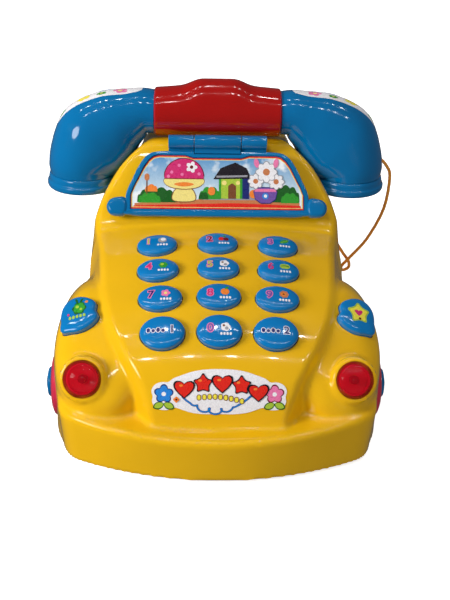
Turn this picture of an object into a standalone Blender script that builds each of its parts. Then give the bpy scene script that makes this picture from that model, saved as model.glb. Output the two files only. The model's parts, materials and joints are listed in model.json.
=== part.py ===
"""Toy car telephone: assembly source. Lengths below are millimetres; meshes are built in metres."""
import math

import bmesh
import bpy
import numpy as np
from mathutils import Matrix, Vector

MM = 0.001
PARTS = "toy_car_telephone"
CUTTERS = "cutters"

# ---- overall layout -------------------------------------------------------------------
Y_ORIGIN = 10.0           # layout datum (drawn from the hinge side) to the origin of the part
SKIRT_FRONT = -116.2      # bumper lip on the centre line
SKIRT_REAR = 96.2
FLOOR_GAP = 2.0           # underside of the moulded body above the floor
WALL = 2.5                # moulding wall thickness
AXLE_Y = (-45.0, 29.0)
WHEEL_R = 20.5
AXLE_Z = WHEEL_R
WHEEL_IN = 79.0           # inner face of a front wheel, from the centre plane
WHEEL_OUT = 98.0
REAR_INSET = 4.0          # the rear wheels sit this much further in
WELL_R = 25.0
WELL_IN = 69.0
HOUSING_TOP = 56.0        # solid moulding round a wheel well ends here
AXLE_R = 2.0

# centre-line profile of the top moulding (y, z): nose, keypad slope, cowl, windscreen, roof, tail
PROFILE = (
    (-121.0, -40.0), (-104.5, 24.0), (-101.0, 36.0), (-95.5, 48.5), (-87.0, 60.0),
    (-76.0, 69.3), (-55.0, 81.0), (-33.0, 88.5),
    (-11.0, 94.5), (8.0, 98.8), (13.5, 99.8), (38.5, 140.0), (45.0, 145.0), (64.0, 146.0),
    (73.0, 139.0), (82.0, 122.0), (88.0, 100.0), (91.0, 78.0), (92.5, 40.0), (93.0, -20.0),
)
# half width of the central volume along y, and its limit by height
HALF_BY_Y = (
    (-121.0, 29.0), (-110.0, 33.0), (-97.0, 40.0), (-80.0, 53.0), (-60.0, 61.5), (-38.0, 65.5),
    (0.0, 69.0), (14.0, 72.0), (40.0, 78.0), (60.0, 74.0), (80.0, 66.0), (100.0, 56.0),
)
SIDE_DRAFT = 0.3
SIDE_DRAFT = 0.3          # the walls under the keypad panel splay out by this much per mm down
SIDE_DRAFT_START = -100.0      # y where that splay starts and where it has faded out
SIDE_DRAFT_END = 30.0
HALF_BY_Z = (
    (70.0, 78.5), (90.0, 77.5), (100.0, 75.0), (110.0, 71.0), (120.0, 65.0), (129.0, 59.0),
    (137.0, 53.0), (143.0, 47.0), (150.0, 37.0),
)
# the cabin narrows behind the windscreen pillars so the cups hang free beside it
NARROW_BY_Z = (
    (84.0, 0.0), (107.0, 11.5), (126.0, 11.5), (132.0, 9.0), (138.0, 7.0), (143.0, 5.0),
    (150.0, 3.5),
)
NARROW_DEPTH = (5.0, 21.0)     # depth behind the surface where that narrowing starts and ends
NARROW_Y = (35.0, 50.0)        # and the same by y, for the roof
HOOD_EDGE = 3.5           # blend between the keypad panel and the side walls
CROWN = 800.0             # lateral crown of the keypad panel: drop = x * x / CROWN

FENDERS = (               # centre x, y, z and radii
    (64.5, -42.0, 36.0, 30.5, 54.0, 43.5),
    (61.0, 29.0, 27.0, 30.0, 40.0, 27.0),
)
FENDER_POWER = 2.4        # roundness exponent: 2 is an ellipsoid
FENDER_FACE = (79.0, -51.0, 74.5)         # point on the flattened front slope of a fender
FENDER_FACE_DIR = (0.14, -0.6, 0.788)
SKIRT_HALF = 89.5
SKIRT_TOP = 27.0
SKIRT_RISE = 0.0005       # the ledge climbs toward the sides by SKIRT_RISE * x * x
SKIRT_BOW = 330.0         # front and rear edges fall back by x * x / SKIRT_BOW
SKIRT_DRAFT = 0.12

# ---- handset ---------------------------------------------------------------------------
GRIP_Y = 52.5
GRIP_Z = 157.5
GRIP_R = 14.8
GRIP_HALF = 39.2
HUMP = 6.0                # thumb rise on top of the grip
HUMP_SHAPE = ((0.0, 1.0), (0.28, 1.0), (0.4, 0.72), (0.5, 0.38), (0.62, 0.22), (1.0, 0.0))
ARM_PATH = (              # x, z, radius in the bend plane and across it, grip to cup
    (39.5, 157.5, 13.4, 13.4), (47.0, 157.5, 14.5, 13.8), (54.6, 154.6, 17.8, 14.8),
    (62.4, 150.4, 22.0, 16.6), (69.6, 144.6, 25.6, 18.4), (76.0, 138.2, 26.8, 20.2),
    (81.4, 131.0, 24.4, 21.2), (84.6, 124.5, 21.9, 21.6), (84.6, 118.8, 21.3, 21.3),
)
CUP_X = 84.6
CAP_R = 23.4
CAP_BOTTOM = 109.4
CAP_TOP = 118.5

# ---- keypad ----------------------------------------------------------------------------
KEY_RISE = 3.6
KEY_SKIRT = 0.965         # share of the half axes that shows above the moulding
KEY_STEM_R = 3.5
KEY_GAP = 0.35
KEY_ROWS = (              # y, outer column x, half length across and up the slope
    (-9.9, 36.0, 12.3, 9.1), (-31.7, 34.9, 12.5, 9.1), (-53.0, 33.0, 12.9, 9.1),
    (-73.3, 31.2, 12.9, 10.5),
)
KEY_NAMES = (
    ("key_1", "key_2", "key_3"), ("key_4", "key_5", "key_6"),
    ("key_7", "key_8", "key_9"), ("key_mode_left", "key_0", "key_mode_right"),
)

# ---- windscreen flap ---------------------------------------------------------------------
FLAP_FOOT = (10.5, 104.0)      # y, z of the lower edge of the outer face
FLAP_ANGLE = math.radians(57.3)
HINGE_R = 4.2
PICTURE_HALF = ((53.6, 4.6), (53.4, 13.5), (49.0, 23.5), (45.4, 31.0), (42.4, 35.4),
                (39.6, 37.8), (36.4, 38.6), (20.0, 38.6), (15.0, 37.0))
PICTURE_MID = 21.0
KNUCKLE_IN = 14.6
KNUCKLE_OUT = 30.2
PIN_R = 1.25

# ---- lamps and side buttons ------------------------------------------------------------
LAMP = (74.6, -87.5, 49.0)
LAMP_DIR = (0.05, -0.88, 0.47)
LAMP_R = 10.6
LAMP_RIM = 2.2
SIDE = (78.2, -54.0)
SIDE_R = 11.9

# ---- base, batteries, speaker --------------------------------------------------------------
CELL_R = 7.15
CELL_LENGTH = 50.0
CELL_PITCH = 15.4
CELL_Z = 15.0
BATTERY_X0 = -15.4
BATTERY_Y = -4.5
TRAY_Z0 = 6.2
TRAY_Z1 = 25.6
DOOR_TAB = 10.0           # the door reaches this far past the cells to take its screw
DOOR_THICK = 1.8
BASE_THICK = 3.2
SCREW_PROFILE = ((2.4, 0.15), (2.4, 1.05), (1.1, 1.05), (1.1, 9.0))
SPEAKER = (0.0, 64.5, 6.2)
SPEAKER_R = 20.0
SCREWS = ((-50.0, -86.0), (50.0, -86.0), (-50.0, 74.0), (50.0, 74.0))
SWITCH = (46.0, -4.0)

# ---- cord ----------------------------------------------------------------------------------
CORD_R = 1.0
CORD_ROUTE = (
    (101.2, 69.0, 126.2), (107.5, 71.8, 122.6), (113.8, 73.5, 116.6), (117.2, 73.5, 108.0),
    (115.0, 72.0, 86.0), (105.6, 71.5, 64.0), (94.5, 71.0, 49.5), (89.4, 71.5, 42.5),
    (91.0, 74.0, 38.4), (95.2, 75.5, 40.0), (94.6, 75.5, 45.0), (90.0, 75.0, 51.5),
    (80.0, 73.5, 67.0), (73.5, 72.2, 76.2), (69.9, 72.0, 78.2),
)

# ---- printed label -------------------------------------------------------------------------
LABEL_HALF = 36.0
LABEL_Z0 = 34.0
LABEL_Z1 = 52.5
LABEL_GAP = 0.4
LABEL_THICK = 0.25

# ---- board and mat under the keys ------------------------------------------------------------
BOARD_TILT = math.radians(19.0)
BOARD_CENTRE = (0.0, -36.0, 63.6)
BOARD_SIZE = (96.0, 79.0, 1.6)
MAT_SIZE = (94.0, 77.0, 2.0)
KEY_REST = 4.2            # gap from a key's stem to the mat

# ---- materials: base colour, roughness, metallic -----------------------------------------------
MATERIALS = {
    "yellow_plastic": ((0.83, 0.49, 0.012), 0.20, 0.0),
    "blue_plastic": ((0.0, 0.20, 0.50), 0.20, 0.0),
    "key_blue": ((0.0, 0.24, 0.62), 0.20, 0.0),
    "red_plastic": ((0.42, 0.006, 0.008), 0.20, 0.0),
    "wheel_red": ((0.55, 0.03, 0.08), 0.30, 0.0),
    "red_lens": ((0.70, 0.01, 0.02), 0.08, 0.0),
    "led_epoxy": ((0.12, 0.01, 0.01), 0.12, 0.0),
    "printed_sticker": ((0.75, 0.80, 0.85), 0.30, 0.0),
    "orange_cord": ((0.55, 0.12, 0.01), 0.80, 0.0),
    "mat_rubber": ((0.55, 0.55, 0.55), 0.70, 0.0),
    "board_green": ((0.03, 0.22, 0.08), 0.40, 0.0),
    "speaker_metal": ((0.45, 0.45, 0.46), 0.35, 1.0),
    "cell_wrap": ((0.12, 0.12, 0.14), 0.40, 0.0),
    "black_plastic": ((0.02, 0.02, 0.02), 0.45, 0.0),
    "zinc_steel": ((0.62, 0.62, 0.64), 0.30, 1.0),
}
MATERIAL_OF = (           # the first prefix that fits an object's name decides
    ("key_mat", "mat_rubber"), ("key_board", "board_green"), ("main_board", "board_green"),
    ("key_", "key_blue"), ("side_button", "key_blue"), ("body_shell", "yellow_plastic"),
    ("base_plate", "yellow_plastic"), ("battery_door", "yellow_plastic"),
    ("windscreen_flap", "blue_plastic"), ("hinge_bracket", "blue_plastic"),
    ("handset_arm", "blue_plastic"), ("mouthpiece_cap", "blue_plastic"),
    ("earpiece_cap", "blue_plastic"), ("hub_cap", "blue_plastic"),
    ("handset_grip", "red_plastic"), ("handset_cord", "orange_cord"), ("wheel_", "wheel_red"),
    ("lamp_lens", "red_lens"), ("lamp_led", "led_epoxy"), ("flap_picture", "printed_sticker"),
    ("front_label", "printed_sticker"), ("speaker", "speaker_metal"), ("cell_", "cell_wrap"),
    ("battery_tray", "black_plastic"), ("switch_", "black_plastic"), ("", "zinc_steel"),
)
SMOOTH_ANGLE = math.radians(34.0)


def clear_scene():
    for item in list(bpy.data.objects):
        bpy.data.objects.remove(item, do_unlink=True)
    for name in (PARTS, CUTTERS):
        group = bpy.data.collections.get(name) or bpy.data.collections.new(name)
        if name not in bpy.context.scene.collection.children:
            bpy.context.scene.collection.children.link(group)


# ---- field of the body ------------------------------------------------------------------
def smooth_min(a, b, k):
    h = np.clip(0.5 + 0.5 * (b - a) / k, 0.0, 1.0)
    return b * (1.0 - h) + a * h - k * h * (1.0 - h)


def smooth_max(a, b, k):
    return -smooth_min(-a, -b, k)


def curve(points, value, blur=0.0):
    xs = [p[0] for p in points]
    ys = [p[1] for p in points]
    if blur == 0.0:
        return np.interp(value, xs, ys)
    total = 0.0
    steps = (-1.0, -0.6, -0.2, 0.2, 0.6, 1.0)
    for step in steps:
        total = total + np.interp(value + step * blur, xs, ys)
    return total / len(steps)


def profile_height(y):
    return curve(PROFILE, y, 4.0)


def profile_slope(y):
    return (profile_height(y + 0.5) - profile_height(y - 0.5))


def lamp_reach(ax, y, z):
    """Distance along the lamp's axis and out from it."""
    lamp = np.array(LAMP_DIR) / np.linalg.norm(LAMP_DIR)
    px = ax - LAMP[0]
    py = y - LAMP[1]
    pz = z - LAMP[2]
    along = px * lamp[0] + py * lamp[1] + pz * lamp[2]
    return along, np.sqrt(np.maximum(px * px + py * py + pz * pz - along * along, 0.0))


def body_field(x, y, z):
    ax = np.abs(x)
    slope = profile_slope(y)
    top = (z - profile_height(y) + ax * ax / CROWN) / np.sqrt(1.0 + slope * slope)
    behind = (-top - NARROW_DEPTH[0]) / (NARROW_DEPTH[1] - NARROW_DEPTH[0])
    behind = np.maximum(behind, (y - NARROW_Y[0]) / (NARROW_Y[1] - NARROW_Y[0]))
    behind = np.clip(behind, 0.0, 1.0)
    behind = behind * behind * (3.0 - 2.0 * behind)
    by_height = curve(HALF_BY_Z, z, 3.0) - behind * curve(NARROW_BY_Z, z, 6.0)
    ahead = np.minimum((SIDE_DRAFT_END - y) / 20.0, (y - SIDE_DRAFT_START) / 40.0)
    ahead = np.clip(ahead, 0.0, 1.0)
    splay = ahead * SIDE_DRAFT * np.clip(profile_height(y) - z, 0.0, 40.0)
    half = np.minimum(curve(HALF_BY_Y, y, 6.0) + splay, by_height)
    value = smooth_max(top, ax - half, HOOD_EDGE)
    for cx, cy, cz, rx, ry, rz in FENDERS:
        dx = np.abs(ax - cx) / rx
        dy = np.abs(y - cy) / ry
        dz = np.maximum(z - cz, 0.0) / rz
        reach = dx ** FENDER_POWER + dy ** FENDER_POWER + dz ** FENDER_POWER
        fender = (reach ** (1.0 / FENDER_POWER) - 1.0) * rx
        if cy < 0.0:
            fx, fy, fz = FENDER_FACE
            nx, ny, nz = FENDER_FACE_DIR
            face = (ax - fx) * nx + (y - fy) * ny + (z - fz) * nz
            fender = smooth_max(fender, face, 10.0)
        value = smooth_min(value, fender, 2.5)
    draft = SKIRT_DRAFT * (SKIRT_TOP - z)
    ends = np.maximum(y - SKIRT_REAR, SKIRT_FRONT - y) + ax * ax / SKIRT_BOW
    plan = smooth_max(ax - SKIRT_HALF + draft, ends, 11.0)
    skirt = smooth_max(plan, z - SKIRT_TOP - SKIRT_RISE * ax * ax, 4.0)
    value = smooth_min(value, skirt, 3.0)
    along, radial = lamp_reach(ax, y, z)
    collar = smooth_max(radial - LAMP_R - LAMP_RIM, np.abs(along + 7.0) - 8.2, 2.0)
    return smooth_min(value, collar, 2.0)


def outer_field(x, y, z):
    value = np.maximum(body_field(x, y, z), FLOOR_GAP - z)
    cradle = GRIP_R + 0.8 - np.hypot(y - GRIP_Y, z - GRIP_Z)
    return smooth_max(value, cradle, 3.0)


def inner_field(x, y, z):
    value = outer_field(x, y, np.maximum(z, 9.0)) + WALL
    for axle_y in AXLE_Y:
        housing = np.maximum(np.abs(y - axle_y) - WELL_R - WALL, z - HOUSING_TOP)
        housing = np.maximum(housing, WELL_IN - WALL - np.abs(x))
        value = smooth_max(value, -housing, 4.0)
    along, radial = lamp_reach(np.abs(x), y, z)
    seat = np.maximum(radial - LAMP_R - 1.8, np.abs(along + 3.0) - 4.0)
    value = smooth_max(value, -seat, 2.0)
    return np.maximum(value, -z - 3.0)


def net_surface(field, low, high, cell):
    """Closed quad surface where the field crosses zero (one vertex per crossed cell)."""
    axes = [np.arange(low[i], high[i] + cell, cell) for i in range(3)]
    gx, gy, gz = np.meshgrid(*axes, indexing="ij")
    value = field(gx, gy, gz)
    inside = value < 0.0
    shape = [n - 1 for n in value.shape]
    total = np.zeros(shape + [3])
    count = np.zeros(shape)
    corners = [(i, j, k) for i in (0, 1) for j in (0, 1) for k in (0, 1)]

    def part(array, corner):
        i, j, k = corner
        return array[i:i + shape[0], j:j + shape[1], k:k + shape[2]]

    for start in corners:
        for axis in range(3):
            if start[axis] == 1:
                continue
            end = list(start)
            end[axis] = 1
            a = part(value, start)
            b = part(value, end)
            crossed = (a < 0.0) != (b < 0.0)
            share = np.where(crossed, a / np.where(crossed, a - b, 1.0), 0.0)
            for i in range(3):
                offset = start[i] + (share if i == axis else 0.0)
                total[..., i] += np.where(crossed, offset, 0.0)
            count += crossed
    used = count > 0
    index = -np.ones(shape, dtype=int)
    index[used] = np.arange(int(used.sum()))
    cells = np.argwhere(used)
    verts = cells + total[used] / count[used][:, None]
    verts = verts * cell + np.array(low)
    faces = []
    for axis in range(3):
        others = [i for i in range(3) if i != axis]
        near = [slice(1, -1)] * 3
        far = [slice(1, -1)] * 3
        near[axis] = slice(0, -1)
        far[axis] = slice(1, None)
        a = inside[tuple(near)]
        b = inside[tuple(far)]
        edges = np.argwhere(a != b)
        starts = edges + 1
        starts[:, axis] -= 1
        sign = a[a != b]
        ring = []
        for du, dv in ((0, 0), (-1, 0), (-1, -1), (0, -1)):
            at = starts.copy()
            at[:, others[0]] += du
            at[:, others[1]] += dv
            ring.append(index[at[:, 0], at[:, 1], at[:, 2]])
        quad = np.stack(ring, axis=1)
        flip = sign if axis != 1 else ~sign
        quad[~flip] = quad[~flip][:, ::-1]
        faces.append(quad)
    return verts, np.concatenate(faces)


# ---- mesh helpers ---------------------------------------------------------------------------
def add_mesh(name, verts, faces):
    mesh = bpy.data.meshes.new(name)
    points = [(v[0] * MM, (v[1] + Y_ORIGIN) * MM, v[2] * MM) for v in verts]
    mesh.from_pydata(points, [], [tuple(int(i) for i in f) for f in faces])
    mesh.update()
    item = bpy.data.objects.new(name, mesh)
    bpy.data.collections[PARTS].objects.link(item)
    return item


def apply_modifiers(item):
    graph = bpy.context.evaluated_depsgraph_get()
    done = bpy.data.meshes.new_from_object(item.evaluated_get(graph))
    item.modifiers.clear()
    old = item.data
    item.data = done
    bpy.data.meshes.remove(old)


def combine(item, others, operation):
    """Boolean the other objects into item one after the other and remove them."""
    for other in others:
        bpy.data.collections[PARTS].objects.unlink(other)
        bpy.data.collections[CUTTERS].objects.link(other)
        other.hide_render = True
        other.display_type = "WIRE"
        change = item.modifiers.new(operation, "BOOLEAN")
        change.operation = operation
        change.solver = "EXACT"
        change.object = other
        bpy.context.view_layer.update()
        apply_modifiers(item)
        bpy.data.objects.remove(other, do_unlink=True)
    return item


def drop_crumbs(item, most_faces=20):
    """Deletes detached specks that a Boolean left behind."""
    mesh = bmesh.new()
    mesh.from_mesh(item.data)
    seen = set()
    specks = []
    for start in mesh.verts:
        if start in seen:
            continue
        island = {start}
        edge = [start]
        while edge:
            vert = edge.pop()
            for link in vert.link_edges:
                other = link.other_vert(vert)
                if other not in island:
                    island.add(other)
                    edge.append(other)
        seen |= island
        if len({face for vert in island for face in vert.link_faces}) < most_faces:
            specks += island
    bmesh.ops.delete(mesh, geom=specks, context="VERTS")
    mesh.to_mesh(item.data)
    mesh.free()
    return item


def decimate(item, target):
    ratio = target / (2.0 * len(item.data.polygons))
    change = item.modifiers.new("fewer", "DECIMATE")
    change.ratio = min(ratio, 1.0)
    bpy.context.view_layer.update()
    apply_modifiers(item)


def loft(name, rings, cap=True):
    """Closed skin through rings of equal length, each ring a list of (x, y, z)."""
    count = len(rings[0])
    verts = [p for ring in rings for p in ring]
    faces = []
    for r in range(len(rings) - 1):
        for i in range(count):
            j = (i + 1) % count
            faces.append((r * count + i, r * count + j, (r + 1) * count + j, (r + 1) * count + i))
    if cap:
        last = (len(rings) - 1) * count
        faces.append(tuple(range(count))[::-1])
        faces.append(tuple(range(last, last + count)))
    item = add_mesh(name, verts, faces)
    fix = bmesh.new()
    fix.from_mesh(item.data)
    bmesh.ops.recalc_face_normals(fix, faces=fix.faces)
    fix.to_mesh(item.data)
    fix.free()
    return item


def frame_from(normal, side=(1.0, 0.0, 0.0)):
    n = Vector(normal).normalized()
    u = Vector(side)
    u = (u - n * u.dot(n)).normalized()
    v = n.cross(u)
    return u, v, n


def placed(outline, height, centre, axes):
    u, v, n = axes
    c = Vector(centre)
    return [tuple(c + u * a + v * b + n * height) for a, b in outline]


def oval(rx, ry, count):
    step = 2.0 * math.pi / count
    return [(rx * math.cos(i * step), ry * math.sin(i * step)) for i in range(count)]


def stack(name, outline_at, heights, centre, axes):
    """Loft of outlines stacked along the normal; outline_at(i) gives the i-th outline."""
    rings = [placed(outline_at(i), h, centre, axes) for i, h in enumerate(heights)]
    return loft(name, rings)


def turned(name, profile, centre, normal, count=24, side=(1.0, 0.0, 0.0)):
    """Solid of revolution; profile is (radius, height) pairs along the normal."""
    axes = frame_from(normal, side)
    radii = [p[0] for p in profile]
    heights = [p[1] for p in profile]
    return stack(name, lambda i: oval(radii[i], radii[i], count), heights, centre, axes)


def box(name, low, high):
    x0, y0, z0 = low
    x1, y1, z1 = high
    rings = []
    for z in (z0, z1):
        rings.append([(x0, y0, z), (x1, y0, z), (x1, y1, z), (x0, y1, z)])
    return loft(name, rings)


def rotated_box(name, size, centre, axes):
    sx, sy, sz = (0.5 * s for s in size)
    outline = [(-sx, -sy), (sx, -sy), (sx, sy), (-sx, sy)]
    return stack(name, lambda i: outline, (-sz, sz), centre, axes)


def sweep(name, path, radii, count, side=(0.0, 1.0, 0.0)):
    """Tube through path points; radii holds (along side, across side) at each point."""
    rings = []
    points = [Vector(p) for p in path]
    for i, p in enumerate(points):
        before = points[max(i - 1, 0)]
        after = points[min(i + 1, len(points) - 1)]
        axes = frame_from(after - before, side)
        rings.append(placed(oval(radii[i][0], radii[i][1], count), 0.0, p, axes))
    return loft(name, rings)


def on_surface(x, y, start_z, step=0.25):
    """Height of the body surface above (x, y) and the outward normal there."""
    z = start_z
    while body_field(np.float64(x), np.float64(y), np.float64(z)) > 0.0:
        z -= step
    low = z
    high = z + step
    for _ in range(20):
        mid = 0.5 * (low + high)
        if body_field(np.float64(x), np.float64(y), np.float64(mid)) > 0.0:
            high = mid
        else:
            low = mid
    e = 1.5
    grad = []
    for dx, dy, dz in ((e, 0, 0), (0, e, 0), (0, 0, e)):
        a = body_field(np.float64(x + dx), np.float64(y + dy), np.float64(mid + dz))
        b = body_field(np.float64(x - dx), np.float64(y - dy), np.float64(mid - dz))
        grad.append(a - b)
    n = Vector(grad).normalized()
    return mid, n


# ---- keys ------------------------------------------------------------------------------
def key_places():
    """(name, point on the panel, outward normal, half axes) of each key."""
    places = []
    for (y, out_x, half_x, half_v), names in zip(KEY_ROWS, KEY_NAMES):
        angle = math.atan(float(profile_slope(y)))
        for column, name in zip((-1, 0, 1), names):
            x = column * out_x
            z = float(profile_height(y)) - x * x / CROWN
            roll = 2.0 * x / CROWN
            n = Vector((math.sin(roll), -math.sin(angle), math.cos(angle))).normalized()
            places.append((name, Vector((x, y, z)), n, (half_x, half_v)))
    return places


def board_axes():
    return frame_from((0.0, -math.sin(BOARD_TILT), math.cos(BOARD_TILT)))


def mat_top_distance(point, normal):
    n = board_axes()[2]
    level = Vector(BOARD_CENTRE).dot(n) + 0.5 * BOARD_SIZE[2] + 0.05 + MAT_SIZE[2]
    return (point.dot(n) - level) / normal.dot(n)


def make_keys():
    for name, centre, n, half in key_places():
        axes = frame_from(n)
        reach = mat_top_distance(centre, n) - KEY_REST
        scale = ((0.27, -reach), (0.27, -7.2), (1.06, -7.2), (1.06, -5.6), (KEY_SKIRT, -5.6),
                 (KEY_SKIRT, 1.6), (0.90, 2.8), (0.72, KEY_RISE - 0.1), (0.38, KEY_RISE + 0.35))
        heights = [s[1] for s in scale]

        def outline(i, scale=scale, half=half):
            share = scale[i][0]
            if share < 0.3:
                return oval(KEY_STEM_R, KEY_STEM_R, 20)
            return oval(half[0] * share, half[1] * share, 20)

        stack(name, outline, heights, centre, axes)


def key_cutters():
    cutters = []
    for name, centre, n, half in key_places():
        hole = oval(half[0] * KEY_SKIRT + KEY_GAP, half[1] * KEY_SKIRT + KEY_GAP, 20)
        cutters.append(stack("cut_" + name, lambda i: hole, (-5.4, 6.0), centre, frame_from(n)))
    return cutters


# ---- side buttons -----------------------------------------------------------------------
def leaf(scale, mirror, count=28):
    """Two lobes with a dip on the inner side and a point at the lower outer corner."""
    points = []
    for i in range(count):
        t = 2.0 * math.pi * i / count
        dip = 2.4 * math.exp(-((math.remainder(t - 0.15, 2.0 * math.pi)) / 0.30) ** 2)
        point = 2.6 * math.exp(-((math.remainder(t - 3.95, 2.0 * math.pi)) / 0.28) ** 2)
        lobe = 0.5 * math.cos(3.0 * t)
        r = SIDE_R - dip + point + lobe
        points.append((mirror * r * scale * math.cos(t), r * scale * math.sin(t)))
    if mirror < 0:
        points.reverse()
    return points


def side_place(sign):
    z, n = on_surface(sign * SIDE[0], SIDE[1], 90.0)
    return Vector((sign * SIDE[0], SIDE[1], z)), n


def make_side_buttons():
    for name, sign in (("side_button_left", -1), ("side_button_right", 1)):
        centre, n = side_place(sign)
        scale = ((1.0, -5.5), (1.09, -5.5), (1.09, -4.0), (0.97, -4.0), (0.97, 1.4),
                 (0.90, 2.6), (0.70, 3.3), (0.35, 3.6))
        mirror = -sign
        stack(name, lambda i: leaf(scale[i][0], mirror), [s[1] for s in scale], centre,
              frame_from(n))


def side_cutters():
    cutters = []
    for sign in (-1, 1):
        centre, n = side_place(sign)
        hole = leaf(1.0, -sign)
        cutters.append(stack("cut_side", lambda i: hole, (-5.0, 9.0), centre, frame_from(n)))
        wide = leaf(1.15, -sign)
        cutters.append(stack("low_side", lambda i: wide, (-12.0, -3.1), centre, frame_from(n)))
    return cutters


# ---- lamps --------------------------------------------------------------------------------
def lamp_place(sign):
    n = Vector((sign * LAMP_DIR[0], LAMP_DIR[1], LAMP_DIR[2])).normalized()
    return Vector((sign * LAMP[0], LAMP[1], LAMP[2])), n


def make_lamps():
    for side, sign in (("left", -1), ("right", 1)):
        centre, n = lamp_place(sign)
        dome = ((LAMP_R - 0.3, -1.0), (LAMP_R - 0.3, 1.2), (LAMP_R - 1.3, 3.4),
                (LAMP_R - 4.0, 5.4), (LAMP_R - 7.5, 6.4))
        lens = turned("lamp_lens_" + side, ((LAMP_R - 0.3, -3.0),) + dome, centre, n, 22)
        hollow = turned("hollow", ((LAMP_R - 2.0, -4.0), (LAMP_R - 2.0, 0.6),
                                   (LAMP_R - 3.0, 2.4), (LAMP_R - 6.0, 4.0)), centre, n, 22)
        combine(lens, [hollow], "DIFFERENCE")
        turned("lamp_led_" + side, ((2.9, -8.4), (2.9, -7.4), (2.5, -7.4), (2.5, -3.0),
                                    (1.9, -1.4), (0.9, -0.7)), centre, n, 14)


# ---- body, base ------------------------------------------------------------------------
def make_body():
    low = (-102.0, -124.0, -2.0)
    high = (102.0, 105.0, 156.0)
    body = add_mesh("body_shell", *net_surface(outer_field, low, high, 2.5))
    decimate(body, 3300)
    cavity = add_mesh("cavity", *net_surface(inner_field, (-102.0, -124.0, -8.0), high, 3.0))
    decimate(cavity, 1500)
    cutters = [cavity]
    cutters += key_cutters()
    cutters += side_cutters()
    for sign in (-1, 1):
        centre, n = lamp_place(sign)
        seat = ((3.3, -14.0), (3.3, -3.3), (LAMP_R, -3.3), (LAMP_R, 9.0))
        cutters.append(turned("lamp_hole", seat, centre, n, 22))
    for axle_y in AXLE_Y:
        for sign in (-1.0, 1.0):
            cutters.append(turned("well", ((WELL_R, WELL_IN), (WELL_R, 120.0)),
                                  (0.0, axle_y, AXLE_Z), (sign, 0.0, 0.0), 28, (0.0, 1.0, 0.0)))
        hole = turned("axle_hole", ((AXLE_R + 0.6, -80.0), (AXLE_R + 0.6, 80.0)),
                      (0.0, axle_y, AXLE_Z), (1.0, 0.0, 0.0), 14, (0.0, 1.0, 0.0))
        cutters.append(hole)
    return drop_crumbs(combine(body, cutters, "DIFFERENCE"))


# ---- board, mat and electronics -----------------------------------------------------------
def make_electronics():
    axes = board_axes()
    centre = Vector(BOARD_CENTRE)
    rotated_box("key_board", BOARD_SIZE, centre, axes)
    lift = 0.5 * (BOARD_SIZE[2] + MAT_SIZE[2]) + 0.05
    rotated_box("key_mat", MAT_SIZE, centre + axes[2] * lift, axes)
    box("main_board", (-30.0, 46.0, 40.0), (30.0, 80.0, 41.6))
    x, y, z = SPEAKER
    turned("speaker", ((SPEAKER_R, 0.0), (SPEAKER_R, 2.4), (SPEAKER_R - 3.0, 2.8), (9.5, 7.6),
                       (9.5, 12.4), (8.6, 12.8)), (x, y, z), (0.0, 0.0, 1.0), 28)


# ---- battery compartment ------------------------------------------------------------------
def cell_places():
    return [(BATTERY_X0 + CELL_PITCH * i, BATTERY_Y, CELL_Z) for i in range(3)]


def make_battery():
    half_w = 1.5 * CELL_PITCH + 1.2
    x_mid = BATTERY_X0 + CELL_PITCH
    low_y = BATTERY_Y - 0.5 * CELL_LENGTH - 3.4
    high_y = BATTERY_Y + 0.5 * CELL_LENGTH + 3.4
    tray = box("battery_tray", (x_mid - half_w - 1.6, low_y - 1.6, TRAY_Z0),
               (x_mid + half_w + 1.6, high_y + 1.6, TRAY_Z1))
    room = box("room", (x_mid - half_w, low_y, TRAY_Z0 - 5.0),
               (x_mid + half_w, high_y, TRAY_Z1 - 1.6))
    combine(tray, [room], "DIFFERENCE")
    for i, (x, y, z) in enumerate(cell_places()):
        sign = -1.0 if i == 1 else 1.0
        half = 0.5 * CELL_LENGTH
        profile = ((CELL_R - 0.6, -half), (CELL_R, -half + 0.6), (CELL_R, half - 2.2),
                   (CELL_R - 0.8, half - 1.4), (2.7, half - 1.4), (2.7, half))
        turned("cell_%d" % (i + 1), profile, (x, y, z), (0.0, sign, 0.0), 16)
    for name, y, sign in (("contact_front", low_y, 1.0), ("contact_rear", high_y, -1.0)):
        a = y + sign * 0.4
        b = y + sign * 0.9
        box(name, (x_mid - half_w + 2.0, min(a, b), CELL_Z - 6.0),
            (x_mid + half_w - 2.0, max(a, b), CELL_Z + 6.0))
    door_w = half_w + 3.0
    door = box("battery_door", (x_mid - door_w, low_y - 3.0, FLOOR_GAP),
               (x_mid + door_w, high_y + DOOR_TAB, FLOOR_GAP + DOOR_THICK))
    seat = (x_mid, high_y + DOOR_TAB - 4.0, FLOOR_GAP)
    combine(door, [screw_seat(seat)], "DIFFERENCE")
    turned("door_screw", SCREW_PROFILE, seat, (0.0, 0.0, 1.0), 14)
    return (x_mid - door_w, low_y - 3.0, x_mid + door_w, high_y + DOOR_TAB)


def screw_seat(centre):
    """Counterbored hole for a screw whose head sits inside the face at centre."""
    profile = ((2.8, -1.0), (2.8, 1.3), (1.4, 1.3), (1.4, 12.0))
    return turned("seat", profile, centre, (0.0, 0.0, 1.0), 14)


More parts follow.
